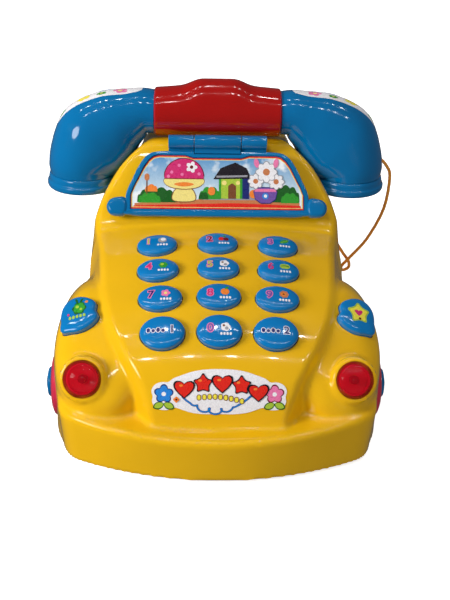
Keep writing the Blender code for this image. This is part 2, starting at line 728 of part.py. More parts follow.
# ---- base plate ------------------------------------------------------------------------------
def base_outline(inset):
    """Plan of the opening under the body: rounded ends between the wheel wells."""
    points = []
    half_x = WELL_IN - WALL - inset
    end_x = SKIRT_HALF - 10.0 - inset
    well_front = AXLE_Y[0] - WELL_R - WALL - inset
    well_rear = AXLE_Y[1] + WELL_R + WALL + inset
    count = 8
    for i in range(count + 1):
        x = -end_x + 12.0 + (2.0 * end_x - 24.0) * i / count
        points.append((x, SKIRT_FRONT + 9.0 + inset + x * x / SKIRT_BOW))
    points.append((end_x, SKIRT_FRONT + 32.0 + inset))
    points.append((end_x, well_front))
    points.append((half_x, well_front))
    points.append((half_x, well_rear))
    points.append((end_x, well_rear))
    points.append((end_x, SKIRT_REAR - 32.0 - inset))
    for i in range(count + 1):
        x = end_x - 12.0 - (2.0 * end_x - 24.0) * i / count
        points.append((x, SKIRT_REAR - 9.0 - inset - x * x / SKIRT_BOW))
    return points


def prism(name, outline, low, high):
    rings = [[(x, y, z) for x, y in outline] for z in (low, high)]
    return loft(name, rings)


def make_base(door):
    base = prism("base_plate", base_outline(1.8), FLOOR_GAP, FLOOR_GAP + BASE_THICK)
    x0, y0, x1, y1 = door
    g = 0.3
    recess = FLOOR_GAP + DOOR_THICK + g
    cutters = [box("door_gap", (x0 - g, y0 - g, 0.0), (x1 + g, y1 + g, recess)),
               box("bay", (x0 + 2.0, y0 + 2.0, 0.0), (x1 - 2.0, y1 - DOOR_TAB + 1.0, 12.0))]
    for ring, count in ((0.0, 1), (6.0, 6), (12.0, 12)):
        for i in range(count):
            angle = 2.0 * math.pi * i / count
            x = SPEAKER[0] + ring * math.cos(angle)
            y = SPEAKER[1] + ring * math.sin(angle)
            cutters.append(turned("sound", ((1.2, 0.0), (1.2, 12.0)), (x, y, 0.0),
                                  (0.0, 0.0, 1.0), 8))
    for x, y in SCREWS:
        cutters.append(screw_seat((x, y, FLOOR_GAP)))
    x, y = SWITCH
    cutters.append(box("switch_slot", (x - 3.2, y - 7.2, 0.0), (x + 3.2, y + 7.2, 12.0)))
    cutters.append(turned("door_screw_hole", ((1.4, 0.0), (1.4, 12.0)),
                          (0.5 * (x0 + x1), y1 - 4.0, 0.0), (0.0, 0.0, 1.0), 12))
    combine(base, cutters, "DIFFERENCE")
    for i, (x, y) in enumerate(SCREWS):
        turned("case_screw_%d" % (i + 1), SCREW_PROFILE, (x, y, FLOOR_GAP),
               (0.0, 0.0, 1.0), 14)
    x, y = SWITCH
    z = FLOOR_GAP + BASE_THICK + 0.3
    box("switch_case", (x - 4.6, y - 9.5, z + 1.5), (x + 4.6, y + 9.5, z + 8.0))
    knob = box("switch_knob", (x - 2.8, y - 5.8, z + 0.2), (x + 2.8, y + 0.8, z + 1.2))
    tip = box("tip", (x - 2.2, y - 4.4, FLOOR_GAP - 1.0), (x + 2.2, y - 0.6, z + 0.7))
    combine(knob, [tip], "UNION")


# ---- wheels -----------------------------------------------------------------------------------
def make_wheels():
    for where, axle_y, inset in zip(("front", "rear"), AXLE_Y, (0.0, REAR_INSET)):
        inner = WHEEL_IN - inset
        outer = WHEEL_OUT - inset
        turned("axle_" + where, ((AXLE_R, 1.2 - outer), (AXLE_R, outer - 1.2)),
               (0.0, axle_y, AXLE_Z), (1.0, 0.0, 0.0), 12, (0.0, 1.0, 0.0))
        for side, sign in (("left", -1.0), ("right", 1.0)):
            bore = AXLE_R + 0.1
            profile = ((bore, inner), (WHEEL_R - 1.5, inner), (WHEEL_R, inner + 1.5),
                       (WHEEL_R, outer - 5.0), (WHEEL_R - 1.2, outer - 2.6),
                       (WHEEL_R - 4.5, outer - 1.2), (bore, outer - 1.0))
            ring_profile("wheel_%s_%s" % (where, side), profile,
                         (0.0, axle_y, AXLE_Z), (sign, 0.0, 0.0), 24)
            cap = ((9.0, outer - 0.6), (9.0, outer + 0.6), (7.6, outer + 2.0),
                   (4.0, outer + 3.0))
            turned("hub_cap_%s_%s" % (where, side), cap, (0.0, axle_y, AXLE_Z),
                   (sign, 0.0, 0.0), 20, (0.0, 1.0, 0.0))


def ring_profile(name, profile, centre, normal, count):
    """Solid of revolution with a bore: the profile is closed back to its first point."""
    axes = frame_from(normal, (0.0, 1.0, 0.0))
    rings = [placed(oval(r, r, count), h, centre, axes) for r, h in profile]
    verts = [p for ring in rings for p in ring]
    faces = []
    for r in range(len(rings)):
        s = (r + 1) % len(rings)
        for i in range(count):
            j = (i + 1) % count
            faces.append((r * count + i, r * count + j, s * count + j, s * count + i))
    item = add_mesh(name, verts, faces)
    fix = bmesh.new()
    fix.from_mesh(item.data)
    bmesh.ops.recalc_face_normals(fix, faces=fix.faces)
    fix.to_mesh(item.data)
    fix.free()
    return item


# ---- windscreen flap ---------------------------------------------------------------------
def flap_axes():
    n = Vector((0.0, -math.sin(FLAP_ANGLE), math.cos(FLAP_ANGLE)))
    v = Vector((0.0, math.cos(FLAP_ANGLE), math.sin(FLAP_ANGLE)))
    return Vector((1.0, 0.0, 0.0)), v, n


def mirrored(half):
    """Full outline from its right half, listed from the bottom centre up."""
    return list(half) + [(-x, v) for x, v in reversed(half)]


BAR_HALF = ((62.5, 0.0), (66.4, 1.6), (68.0, 5.6), (67.0, 9.6), (63.5, 12.4), (57.0, 13.0))
SCREEN_HALF = ((56.4, 2.0), (56.2, 13.5), (52.2, 23.0), (48.6, 31.0), (45.6, 36.0),
               (42.4, 39.0), (38.4, 40.6), (30.0, 41.0))


def make_flap():
    axes = flap_axes()
    foot = Vector((0.0,) + FLAP_FOOT)
    bar = mirrored(BAR_HALF)
    flap = stack("windscreen_flap", lambda i: bar, (-3.6, 0.8), foot, axes)
    screen = mirrored(SCREEN_HALF)
    panel = stack("panel", lambda i: screen, (-3.5, 0.5), foot, axes)
    along = (1.0, 0.0, 0.0)
    pin = hinge_axis()
    parts = [panel]
    for sign in (-1.0, 1.0):
        ends = sorted((sign * KNUCKLE_IN, sign * KNUCKLE_OUT))
        parts.append(turned("knuckle", ((HINGE_R, ends[0]), (HINGE_R, ends[1])),
                            (0.0, pin.y, pin.z), along, 18, (0.0, 1.0, 0.0)))
        leaf_low = foot + axes[0] * (0.5 * (ends[0] + ends[1])) + axes[1] * 42.0 - axes[2] * 2.0
        parts.append(rotated_box("leaf", (KNUCKLE_OUT - KNUCKLE_IN - 0.2, 6.0, 2.3), leaf_low, axes))
    combine(flap, parts, "UNION")
    notch_mid = foot + axes[1] * 48.0
    notch = rotated_box("notch", (2.0 * KNUCKLE_IN - 0.1, 18.0, 20.0), notch_mid, axes)
    bore = turned("bore", ((PIN_R + 0.09, -50.0), (PIN_R + 0.09, 50.0)), (0.0, pin.y, pin.z),
                  along, 14, (0.0, 1.0, 0.0))
    window = mirrored(PICTURE_HALF)
    recess = stack("recess", lambda i: window, (-0.9, 9.0), foot, axes)
    combine(flap, [notch, bore, recess], "DIFFERENCE")
    sheet = [(x * 0.99, PICTURE_MID + (v - PICTURE_MID) * 0.975) for x, v in window]
    stack("flap_picture", lambda i: sheet, (-0.6, -0.35), foot, axes)
    knuckle = turned("hinge_bracket", ((HINGE_R + 0.2, -KNUCKLE_IN + 0.4),
                                       (HINGE_R + 0.2, KNUCKLE_IN - 0.4)),
                     (0.0, pin.y, pin.z), along, 18, (0.0, 1.0, 0.0))
    block_mid = foot + axes[1] * 42.75 - axes[2] * 1.7
    block = rotated_box("block", (2.0 * KNUCKLE_IN - 0.8, 6.5, 4.6), block_mid, axes)
    combine(knuckle, [block], "UNION")
    bore = turned("bore", ((PIN_R + 0.09, -50.0), (PIN_R + 0.09, 50.0)), (0.0, pin.y, pin.z),
                  along, 14, (0.0, 1.0, 0.0))
    combine(knuckle, [bore], "DIFFERENCE")
    turned("hinge_pin", ((PIN_R, -KNUCKLE_OUT + 1.0), (PIN_R, KNUCKLE_OUT - 1.0)),
           (0.0, pin.y, pin.z), along, 12, (0.0, 1.0, 0.0))


def hinge_axis():
    axes = flap_axes()
    return Vector((0.0,) + FLAP_FOOT) + axes[1] * 46.6 + axes[2] * 0.9


# ---- handset ----------------------------------------------------------------------------------
def make_handset():
    count = 24
    rings = []
    for x in (-1.0, -0.97, -0.6, -0.5, -0.4, -0.27, 0.27, 0.4, 0.5, 0.6, 0.97, 1.0):
        radius = GRIP_R - (1.1 if abs(x) == 1.0 else 0.0)
        hump = HUMP * float(curve(HUMP_SHAPE, abs(x), 0.06))
        ring = []
        for a, b in oval(radius, radius, count):
            lift = hump * max(b / radius, 0.0) ** 2
            ring.append((x * GRIP_HALF, GRIP_Y + a, GRIP_Z + b + lift))
        rings.append(ring)
    loft("handset_grip", rings)
    for side, sign in (("left", -1.0), ("right", 1.0)):
        path = [(sign * x, GRIP_Y, z) for x, z, in_plane, across in ARM_PATH]
        radii = [(across, in_plane) for x, z, in_plane, across in ARM_PATH]
        sweep("handset_arm_" + side, path, radii, count)
        cap = "mouthpiece_cap" if side == "left" else "earpiece_cap"
        profile = ((CAP_R - 2.0, 0.0), (CAP_R - 0.4, 0.8), (CAP_R, 2.0), (CAP_R, 5.0),
                   (CAP_R - 1.8, CAP_TOP - CAP_BOTTOM))
        turned(cap, profile, (sign * CUP_X, GRIP_Y, CAP_BOTTOM), (0.0, 0.0, 1.0), 24)


# ---- cord and printed label -----------------------------------------------------------------
def make_cord():
    """The string in its resting shape, as a curve with a round bevel."""
    points = smooth_path(CORD_ROUTE, 4)
    line = bpy.data.curves.new("handset_cord", "CURVE")
    line.dimensions = "3D"
    line.bevel_depth = CORD_R * MM
    line.bevel_resolution = 1
    line.use_fill_caps = True
    spline = line.splines.new("POLY")
    spline.points.add(len(points) - 1)
    for point, (x, y, z) in zip(spline.points, points):
        point.co = (x * MM, (y + Y_ORIGIN) * MM, z * MM, 1.0)
    item = bpy.data.objects.new("handset_cord", line)
    bpy.data.collections[PARTS].objects.link(item)


def smooth_path(points, steps):
    """Catmull-Rom points through the route."""
    route = [Vector(p) for p in points]
    route = [route[0] * 2.0 - route[1]] + route + [route[-1] * 2.0 - route[-2]]
    done = []
    for i in range(1, len(route) - 2):
        a, b, c, d = route[i - 1:i + 3]
        for s in range(steps):
            t = s / steps
            done.append(0.5 * ((2.0 * b) + (c - a) * t + (2.0 * a - 5.0 * b + 4.0 * c - d) * t * t
                               + (3.0 * b - a - 3.0 * c + d) * t * t * t))
    done.append(route[-2])
    return done


def make_label():
    """Thin sheet bent over the nose, a fixed distance off the moulding."""
    across = 12
    up = 5
    rings = []
    for height in (LABEL_GAP, LABEL_GAP + LABEL_THICK):
        grid = []
        for j in range(up + 1):
            for i in range(across + 1):
                x = LABEL_HALF * (2.0 * i / across - 1.0)
                arch = 0.20 * LABEL_HALF * (1.0 - (x / LABEL_HALF) ** 2)
                z = LABEL_Z0 + (LABEL_Z1 - LABEL_Z0) * j / up + arch * 0.5
                grid.append(nose_point(x, z, height))
        rings.append(grid)
    verts = rings[0] + rings[1]
    size = len(rings[0])
    faces = []
    row = across + 1
    for j in range(up):
        for i in range(across):
            a = j * row + i
            quad = (a, a + 1, a + row + 1, a + row)
            faces.append(quad[::-1])
            faces.append(tuple(size + q for q in quad))
    rim = [i for i in range(row)]
    rim += [j * row + across for j in range(1, up + 1)]
    rim += [up * row + i for i in range(across - 1, -1, -1)]
    rim += [j * row for j in range(up - 1, 0, -1)]
    for i in range(len(rim)):
        a = rim[i]
        b = rim[(i + 1) % len(rim)]
        faces.append((a, b, size + b, size + a))
    item = add_mesh("front_label", verts, faces)
    fix = bmesh.new()
    fix.from_mesh(item.data)
    bmesh.ops.recalc_face_normals(fix, faces=fix.faces)
    fix.to_mesh(item.data)
    fix.free()


def nose_point(x, z, height):
    """Point in front of the nose at (x, z), at the given distance from the surface."""
    low = -130.0
    high = -70.0
    for _ in range(24):
        mid = 0.5 * (low + high)
        if body_field(np.float64(x), np.float64(mid), np.float64(z)) > height:
            low = mid
        else:
            high = mid
    return (x, mid, z)


# ---- origins, joints and materials -------------------------------------------------------------
def frame_point(point):
    """A layout point in metres in the frame of the part."""
    return Vector((point[0], point[1] + Y_ORIGIN, point[2])) * MM


def set_origin(name, point):
    """Gives a mesh object its origin at the point without moving its shape."""
    item = bpy.data.objects[name]
    item.data.transform(Matrix.Translation(-frame_point(point)))
    item.location = frame_point(point)
    return item


def hang_on(joint, point, names):
    """Parents the objects to an empty that stands on their joint's axis."""
    pivot = bpy.data.objects.new(joint, None)
    pivot.empty_display_size = 0.02
    pivot.location = frame_point(point)
    bpy.data.collections[PARTS].objects.link(pivot)
    for name in names:
        item = set_origin(name, point)
        item.parent = pivot
        item.location = (0.0, 0.0, 0.0)


def set_joints():
    hang_on("flap_hinge", hinge_axis(), ("windscreen_flap", "flap_picture"))
    hang_on("handset_lift", (0.0, GRIP_Y, GRIP_Z),
            ("handset_grip", "handset_arm_left", "handset_arm_right", "mouthpiece_cap",
             "earpiece_cap"))
    for where, axle_y in zip(("front", "rear"), AXLE_Y):
        names = ["axle_" + where]
        for side in ("left", "right"):
            names += ["wheel_%s_%s" % (where, side), "hub_cap_%s_%s" % (where, side)]
        hang_on(where + "_axle_spin", (0.0, axle_y, AXLE_Z), names)
    for name, centre, _, _ in key_places():
        set_origin(name, centre)
    for side, sign in (("left", -1), ("right", 1)):
        set_origin("side_button_" + side, side_place(sign)[0])
        set_origin("lamp_lens_" + side, lamp_place(sign)[0])
        set_origin("lamp_led_" + side, lamp_place(sign)[0])
    set_origin("switch_knob", (SWITCH[0], SWITCH[1], FLOOR_GAP))


def make_materials():
    for name, (colour, roughness, metallic) in MATERIALS.items():
        material = bpy.data.materials.new(name)
        material.use_nodes = True
        shader = material.node_tree.nodes["Principled BSDF"]
        shader.inputs["Base Color"].default_value = colour + (1.0,)
        shader.inputs["Roughness"].default_value = roughness
        shader.inputs["Metallic"].default_value = metallic


def finish_surfaces():
    """Each object's material, and smooth shading between its crisp edges."""
    make_materials()
    for item in bpy.data.collections[PARTS].objects:
        if item.type == "EMPTY":
            continue
        slot = next(slot for prefix, slot in MATERIAL_OF if item.name.startswith(prefix))
        item.data.materials.clear()
        item.data.materials.append(bpy.data.materials[slot])
        if item.type == "MESH":
            item.data.shade_smooth()
            item.data.set_sharp_from_angle(angle=SMOOTH_ANGLE)


def main():
    clear_scene()
    make_body()
    make_keys()
    make_side_buttons()
    make_lamps()
    make_electronics()
    door = make_battery()
    make_base(door)
    make_wheels()
    make_flap()
    make_handset()
    make_cord()
    make_label()
    set_joints()
    finish_surfaces()


main()
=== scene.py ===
"""Toy car telephone: the looks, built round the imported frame.

Lengths are millimetres in the layout that the frame was drawn in, and metres in the meshes. The
layout's own origin lies Y_ORIGIN behind the frame's.
"""
import json
import math

import bmesh
import bpy
import numpy as np
from mathutils import Matrix, Vector


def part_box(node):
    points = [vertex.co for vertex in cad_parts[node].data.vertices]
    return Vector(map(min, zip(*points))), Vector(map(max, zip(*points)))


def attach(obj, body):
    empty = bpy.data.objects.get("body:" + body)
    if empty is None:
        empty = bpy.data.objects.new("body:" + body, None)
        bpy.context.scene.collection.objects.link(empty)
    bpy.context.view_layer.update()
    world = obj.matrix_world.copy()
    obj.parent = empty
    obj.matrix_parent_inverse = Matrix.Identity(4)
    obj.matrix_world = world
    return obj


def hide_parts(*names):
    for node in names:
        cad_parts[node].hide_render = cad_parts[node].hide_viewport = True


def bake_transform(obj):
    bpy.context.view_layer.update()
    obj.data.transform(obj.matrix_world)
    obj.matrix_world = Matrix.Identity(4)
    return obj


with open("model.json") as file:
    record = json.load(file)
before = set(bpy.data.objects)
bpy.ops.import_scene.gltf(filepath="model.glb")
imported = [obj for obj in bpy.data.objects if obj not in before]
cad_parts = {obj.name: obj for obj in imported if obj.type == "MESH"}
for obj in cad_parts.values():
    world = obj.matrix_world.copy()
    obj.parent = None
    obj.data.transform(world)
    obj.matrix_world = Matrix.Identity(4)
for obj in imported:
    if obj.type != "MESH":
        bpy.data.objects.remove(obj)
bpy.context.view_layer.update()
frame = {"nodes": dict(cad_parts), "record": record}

MM = 0.001
TAU = 2.0 * math.pi
Y_ORIGIN = 10.0

# ---- layout of the frame ----------------------------------------------------------------
SKIRT_FRONT = -116.2
SKIRT_REAR = 96.2
FLOOR_GAP = 2.0
WALL = 2.5
AXLE_Y = (-45.0, 29.0)
WHEEL_R = 20.5
WHEEL_IN = 79.0
WHEEL_OUT = 98.0
REAR_INSET = 4.0
WELL_R = 25.0
WELL_IN = 69.0
HOUSING_TOP = 56.0
AXLE_R = 2.0
AXLE_GAP = 0.6
PROFILE = (
    (-121.0, -40.0), (-104.5, 24.0), (-101.0, 36.0), (-95.5, 48.5), (-87.0, 60.0),
    (-76.0, 69.3), (-55.0, 81.0), (-33.0, 88.5),
    (-11.0, 94.5), (8.0, 98.8), (13.5, 99.8), (38.5, 140.0), (45.0, 145.0), (64.0, 146.0),
    (73.0, 139.0), (82.0, 122.0), (88.0, 100.0), (91.0, 78.0), (92.5, 40.0), (93.0, -20.0),
)
HALF_BY_Y = (
    (-121.0, 29.0), (-110.0, 33.0), (-97.0, 40.0), (-80.0, 53.0), (-60.0, 61.5), (-38.0, 65.5),
    (0.0, 69.0), (14.0, 72.0), (40.0, 78.0), (60.0, 74.0), (80.0, 66.0), (100.0, 56.0),
)
SIDE_DRAFT = 0.3
SIDE_DRAFT_START = -100.0
SIDE_DRAFT_END = 30.0
SIDE_DRAFT_FADE = (40.0, 20.0)        # length of its fade at the start and at the end
SIDE_DRAFT_DEPTH = 40.0
HALF_BY_Z = (
    (70.0, 78.5), (90.0, 77.5), (100.0, 75.0), (110.0, 71.0), (120.0, 65.0), (129.0, 59.0),
    (137.0, 53.0), (143.0, 47.0), (150.0, 37.0),
)
NARROW_BY_Z = (
    (84.0, 0.0), (107.0, 11.5), (126.0, 11.5), (132.0, 9.0), (138.0, 7.0), (143.0, 5.0),
    (150.0, 3.5),
)
NARROW_DEPTH = (5.0, 21.0)
NARROW_Y = (35.0, 50.0)
HOOD_EDGE = 3.5
CROWN = 800.0
FENDERS = (
    (64.5, -42.0, 36.0, 30.5, 54.0, 43.5),
    (61.0, 29.0, 27.0, 30.0, 40.0, 27.0),
)
FENDER_POWER = 2.4
FENDER_BLEND = 2.5
FACE_BLEND = 10.0
FENDER_FACE = (79.0, -51.0, 74.5)
FENDER_FACE_DIR = (0.14, -0.6, 0.788)
SKIRT_HALF = 89.5
SKIRT_TOP = 27.0
SKIRT_RISE = 0.0005
SKIRT_BOW = 330.0
SKIRT_DRAFT = 0.12
SKIRT_CORNER = 11.0
SKIRT_EDGE = 4.0
SKIRT_BLEND = 3.0
COLLAR_BLEND = 2.0
BODY_LOW = (-102.0, -124.0, -2.0)     # box that the body's surface is sought in
BODY_HIGH = (102.0, 105.0, 156.0)

GRIP_Y = 52.5
GRIP_Z = 157.5
GRIP_R = 14.8
GRIP_HALF = 39.2
HUMP = 6.0
ARM_PATH = (
    (39.5, 157.5, 13.4, 13.4), (47.0, 157.5, 14.5, 13.8), (54.6, 154.6, 17.8, 14.8),
    (62.4, 150.4, 22.0, 16.6), (69.6, 144.6, 25.6, 18.4), (76.0, 138.2, 26.8, 20.2),
    (81.4, 131.0, 24.4, 21.2), (84.6, 124.5, 21.9, 21.6), (84.6, 118.8, 21.3, 21.3),
)
CUP_X = 84.6
CAP_R = 23.4
CAP_BOTTOM = 109.4
CAP_TOP = 118.5

KEY_RISE = 3.95
KEY_SHOULDER = 1.6
KEY_FLANGE = (1.06, -7.2, -5.6)       # share of the half axes, underside and top
STEM_R = 3.5
STEM_REACH = (8.0, 16.0)
KEY_SKIRT = 0.965         # share of the half axes that shows above the moulding
KEY_GAP = 0.35
KEY_ROWS = (              # y, outer column x, half length across and up the slope
    (-9.9, 36.0, 12.3, 9.1), (-31.7, 34.9, 12.5, 9.1), (-53.0, 33.0, 12.9, 9.1),
    (-73.3, 31.2, 12.9, 10.5),
)
KEY_NAMES = (
    ("key_1", "key_2", "key_3"), ("key_4", "key_5", "key_6"),
    ("key_7", "key_8", "key_9"), ("key_mode_left", "key_0", "key_mode_right"),
)

FLAP_FOOT = (10.5, 104.0)
FLAP_ANGLE = math.radians(57.3)
HINGE_R = 4.2
HINGE_UP = 46.6           # hinge axis up the slope from the foot, and out from it
HINGE_OUT = 0.9
KNUCKLE_IN = 14.6
KNUCKLE_OUT = 30.2
PIN_BORE_R = 1.34

LAMP = (74.6, -87.5, 49.0)
LAMP_DIR = (0.05, -0.88, 0.47)
LAMP_R = 10.6
LAMP_RIM = 2.2
SIDE = (78.2, -54.0)
SIDE_R = 11.9

CORD_R = 1.0
CORD_ROUTE = (
    (101.2, 69.0, 126.2), (107.5, 71.8, 122.6), (113.8, 73.5, 116.6), (117.2, 73.5, 108.0),
    (115.0, 72.0, 86.0), (105.6, 71.5, 64.0), (94.5, 71.0, 49.5), (89.4, 71.5, 42.5),
    (91.0, 74.0, 38.4), (95.2, 75.5, 40.0), (94.6, 75.5, 45.0), (90.0, 75.0, 51.5),
    (80.0, 73.5, 67.0), (73.5, 72.2, 76.2), (69.9, 72.0, 78.2),
)

# ---- camera, in frame millimetres and degrees -----------------------------------------------
CAMERA_AZIMUTH = -2.25
CAMERA_ELEVATION = 27.59
CAMERA_ROLL = 1.44
CAMERA_DISTANCE = 548.3
CAMERA_TARGET = (3.85, -34.1, 75.5)
CAMERA_LENS = 57.23


# ---- materials ------------------------------------------------------------------------------
def linear(red, green, blue):
    """Screen colour, 0 to 255, to the linear values that a shader takes."""
    done = []
    for value in (red, green, blue):
        share = value / 255.0
        done.append(share / 12.92 if share < 0.04045 else ((share + 0.055) / 1.055) ** 2.4)
    return tuple(done)


def blank(name):
    material = bpy.data.materials.new(name)
    material.use_nodes = True
    tree = material.node_tree
    return material, tree, tree.nodes["Principled BSDF"]


def noise(tree, scale, detail=2.0):
    place = tree.nodes.new("ShaderNodeTexCoord")
    node = tree.nodes.new("ShaderNodeTexNoise")
    node.inputs["Scale"].default_value = scale
    node.inputs["Detail"].default_value = detail
    tree.links.new(place.outputs["Object"], node.inputs["Vector"])
    return node


NOISE_SPAN = (0.3, 0.7)   # the stretch that a noise texture's values mostly lie in


def vary_colour(tree, shader, colour, spread, scale):
    source = noise(tree, scale)
    ramp = tree.nodes.new("ShaderNodeValToRGB")
    low, high = ramp.color_ramp.elements
    low.position, high.position = NOISE_SPAN
    low.color = tuple(c * (1.0 - spread) for c in colour) + (1.0,)
    high.color = tuple(min(c * (1.0 + spread), 1.0) for c in colour) + (1.0,)
    tree.links.new(source.outputs["Fac"], ramp.inputs["Fac"])
    tree.links.new(ramp.outputs["Color"], shader.inputs["Base Color"])


def rescale(tree, source, given, wanted=(0.0, 1.0)):
    """The source's values, taken linearly from the given range to the wanted one."""
    band = tree.nodes.new("ShaderNodeMapRange")
    for name, value in zip(("From Min", "From Max", "To Min", "To Max"), given + wanted):
        band.inputs[name].default_value = value
    tree.links.new(source, band.inputs["Value"])
    return band.outputs["Result"]


def vary_roughness(tree, shader, low, high, scale):
    source = noise(tree, scale, 4.0)
    band = rescale(tree, source.outputs["Fac"], NOISE_SPAN, (low, high))
    tree.links.new(band, shader.inputs["Roughness"])


def add_bump(tree, shader, scale, strength, distance):
    source = noise(tree, scale, 3.0)
    bump = tree.nodes.new("ShaderNodeBump")
    bump.inputs["Strength"].default_value = strength
    bump.inputs["Distance"].default_value = distance
    tree.links.new(source.outputs["Fac"], bump.inputs["Height"])
    tree.links.new(bump.outputs["Normal"], shader.inputs["Normal"])


def moulded(name, colour, rough, spread=0.04, ripple=0.04):
    """Glossy injection-moulded plastic: faint flow mottling, faint orange peel, handling haze."""
    material, tree, shader = blank(name)
    vary_colour(tree, shader, colour, spread, 35.0)
    vary_roughness(tree, shader, rough[0], rough[1], 60.0)
    add_bump(tree, shader, 180.0, ripple, 0.0002)
    shader.inputs["Coat Weight"].default_value = 0.7
    shader.inputs["Coat Roughness"].default_value = 0.006
    return material


def metal(name, colour, rough):
    material, tree, shader = blank(name)
    vary_colour(tree, shader, colour, 0.06, 300.0)
    vary_roughness(tree, shader, rough - 0.08, rough + 0.08, 900.0)
    add_bump(tree, shader, 2500.0, 0.15, 0.00005)
    shader.inputs["Metallic"].default_value = 1.0
    return material


def ink(name, colour, rough=0.28):
    """Printed film: even colour with a faint screen grain under a clear skin."""
    material, tree, shader = blank("ink_" + name)
    vary_colour(tree, shader, colour, 0.10, 1400.0)
    vary_roughness(tree, shader, rough - 0.05, rough + 0.05, 250.0)
    return material


LENS_COVER = 0.30


def clear_red(name):
    """Thin tinted lens: it covers LENS_COVER of what lies behind it."""
    material, tree, shader = blank(name)
    vary_colour(tree, shader, linear(214, 14, 34), 0.03, 80.0)
    add_bump(tree, shader, 240.0, 0.06, 0.0002)
    shader.inputs["Roughness"].default_value = 0.06
    shader.inputs["IOR"].default_value = 1.49
    shader.inputs["Alpha"].default_value = LENS_COVER
    return material


def string_material(name):
    material, tree, shader = blank(name)
    vary_colour(tree, shader, linear(250, 158, 52), 0.16, 900.0)
    vary_roughness(tree, shader, 0.6, 0.75, 400.0)
    add_bump(tree, shader, 3500.0, 0.5, 0.0002)
    shader.inputs["Sheen Weight"].default_value = 0.3
    return material


def sky_film(name):
    """Sky of the flap picture: pale at the horizon, blue above, with soft clouds."""
    material, tree, shader = blank(name)
    place = tree.nodes.new("ShaderNodeTexCoord")
    parts = tree.nodes.new("ShaderNodeSeparateXYZ")
    horizon = (FLAP_FOOT[1] + 8.0) * MM
    zenith = (FLAP_FOOT[1] + 33.0) * MM
    ramp = tree.nodes.new("ShaderNodeValToRGB")
    ramp.color_ramp.elements[0].color = linear(214, 232, 240) + (1.0,)
    ramp.color_ramp.elements[1].color = linear(58, 138, 196) + (1.0,)
    cloud = noise(tree, 95.0, 3.0)
    white = tree.nodes.new("ShaderNodeValToRGB")
    white.color_ramp.elements[0].position = 0.52
    white.color_ramp.elements[1].position = 0.68
    mix = tree.nodes.new("ShaderNodeMixRGB")
    mix.inputs["Color2"].default_value = linear(236, 242, 246) + (1.0,)
    tree.links.new(place.outputs["Object"], parts.inputs["Vector"])
    tree.links.new(rescale(tree, parts.outputs["Z"], (horizon, zenith)), ramp.inputs["Fac"])
    tree.links.new(cloud.outputs["Fac"], white.inputs["Fac"])
    tree.links.new(white.outputs["Color"], mix.inputs["Fac"])
    tree.links.new(ramp.outputs["Color"], mix.inputs["Color1"])
    tree.links.new(mix.outputs["Color"], shader.inputs["Base Color"])
    vary_roughness(tree, shader, 0.22, 0.32, 250.0)
    return material


YELLOW = moulded("yellow_moulding", linear(236, 182, 16), (0.09, 0.16), 0.03)
BLUE = moulded("blue_moulding", linear(0, 108, 166), (0.08, 0.15))
KEY_BLUE = moulded("key_blue", linear(0, 118, 186), (0.10, 0.17), 0.05)
RED = moulded("red_moulding", linear(168, 14, 12), (0.08, 0.15))
WHEEL_RED = moulded("wheel_red", linear(205, 45, 75), (0.25, 0.35))
LENS_RED = clear_red("lens_red")
LAMP_BOWL = moulded("lamp_bowl", linear(236, 20, 44), (0.3, 0.4))
LED = moulded("led_epoxy", linear(44, 4, 10), (0.08, 0.14), 0.1, 0.05)
BLACK = moulded("black_moulding", linear(28, 28, 30), (0.35, 0.5), 0.1)
BOARD = moulded("board_resin", linear(20, 96, 52), (0.3, 0.4), 0.15)
MAT = moulded("mat_rubber", linear(170, 170, 165), (0.6, 0.75), 0.05)
CELL = moulded("cell_wrap", linear(60, 64, 72), (0.3, 0.4), 0.1)
STEEL = metal("zinc_steel", (0.62, 0.62, 0.64), 0.32)
STRING = string_material("orange_string")
PAPER = ink("film_white", linear(236, 234, 238), 0.25)
INK_COLOURS = {
    "red": (222, 38, 26), "dark_red": (110, 12, 22), "pink": (232, 120, 170),
    "deep_pink": (205, 40, 110), "blue": (40, 130, 215), "navy": (22, 36, 110),
    "violet": (110, 80, 160), "green": (48, 150, 44), "dark_green": (24, 92, 30),
    "lime": (165, 195, 60), "yellow": (238, 222, 70), "cream": (238, 220, 130),
    "orange": (236, 130, 50), "tan": (196, 120, 74), "brown": (120, 70, 40),
    "grey": (150, 150, 158), "black": (26, 20, 30),
}
INKS = {name: ink(name, linear(*colour)) for name, colour in INK_COLOURS.items()}
INKS["white"] = PAPER
INKS["sky"] = sky_film("ink_sky")


# ---- mesh helpers ---------------------------------------------------------------------------
SHARP_ANGLE = 34.0


def add_mesh(name, verts, faces, material=None, sharp=SHARP_ANGLE):
    mesh = bpy.data.meshes.new(name)
    points = np.asarray([tuple(v) for v in verts], float)
    points = (points + np.array((0.0, Y_ORIGIN, 0.0))) * MM
    mesh.from_pydata(points.tolist(), [], [tuple(int(i) for i in f) for f in faces])
    item = bpy.data.objects.new(name, mesh)
    bpy.context.scene.collection.objects.link(item)
    if material is not None:
        mesh.materials.append(material)
    smooth(item, sharp)
    return item


def smooth(item, sharp=SHARP_ANGLE):
    item.data.shade_smooth()
    item.data.set_sharp_from_angle(angle=math.radians(sharp))


def face_outward(item):
    mesh = bmesh.new()
    mesh.from_mesh(item.data)
    bmesh.ops.recalc_face_normals(mesh, faces=mesh.faces)
    mesh.to_mesh(item.data)
    mesh.free()


def apply_modifiers(item):
    bpy.context.view_layer.update()
    graph = bpy.context.evaluated_depsgraph_get()
    done = bpy.data.meshes.new_from_object(item.evaluated_get(graph))
    item.modifiers.clear()
    old = item.data
    item.data = done
    bpy.data.meshes.remove(old)


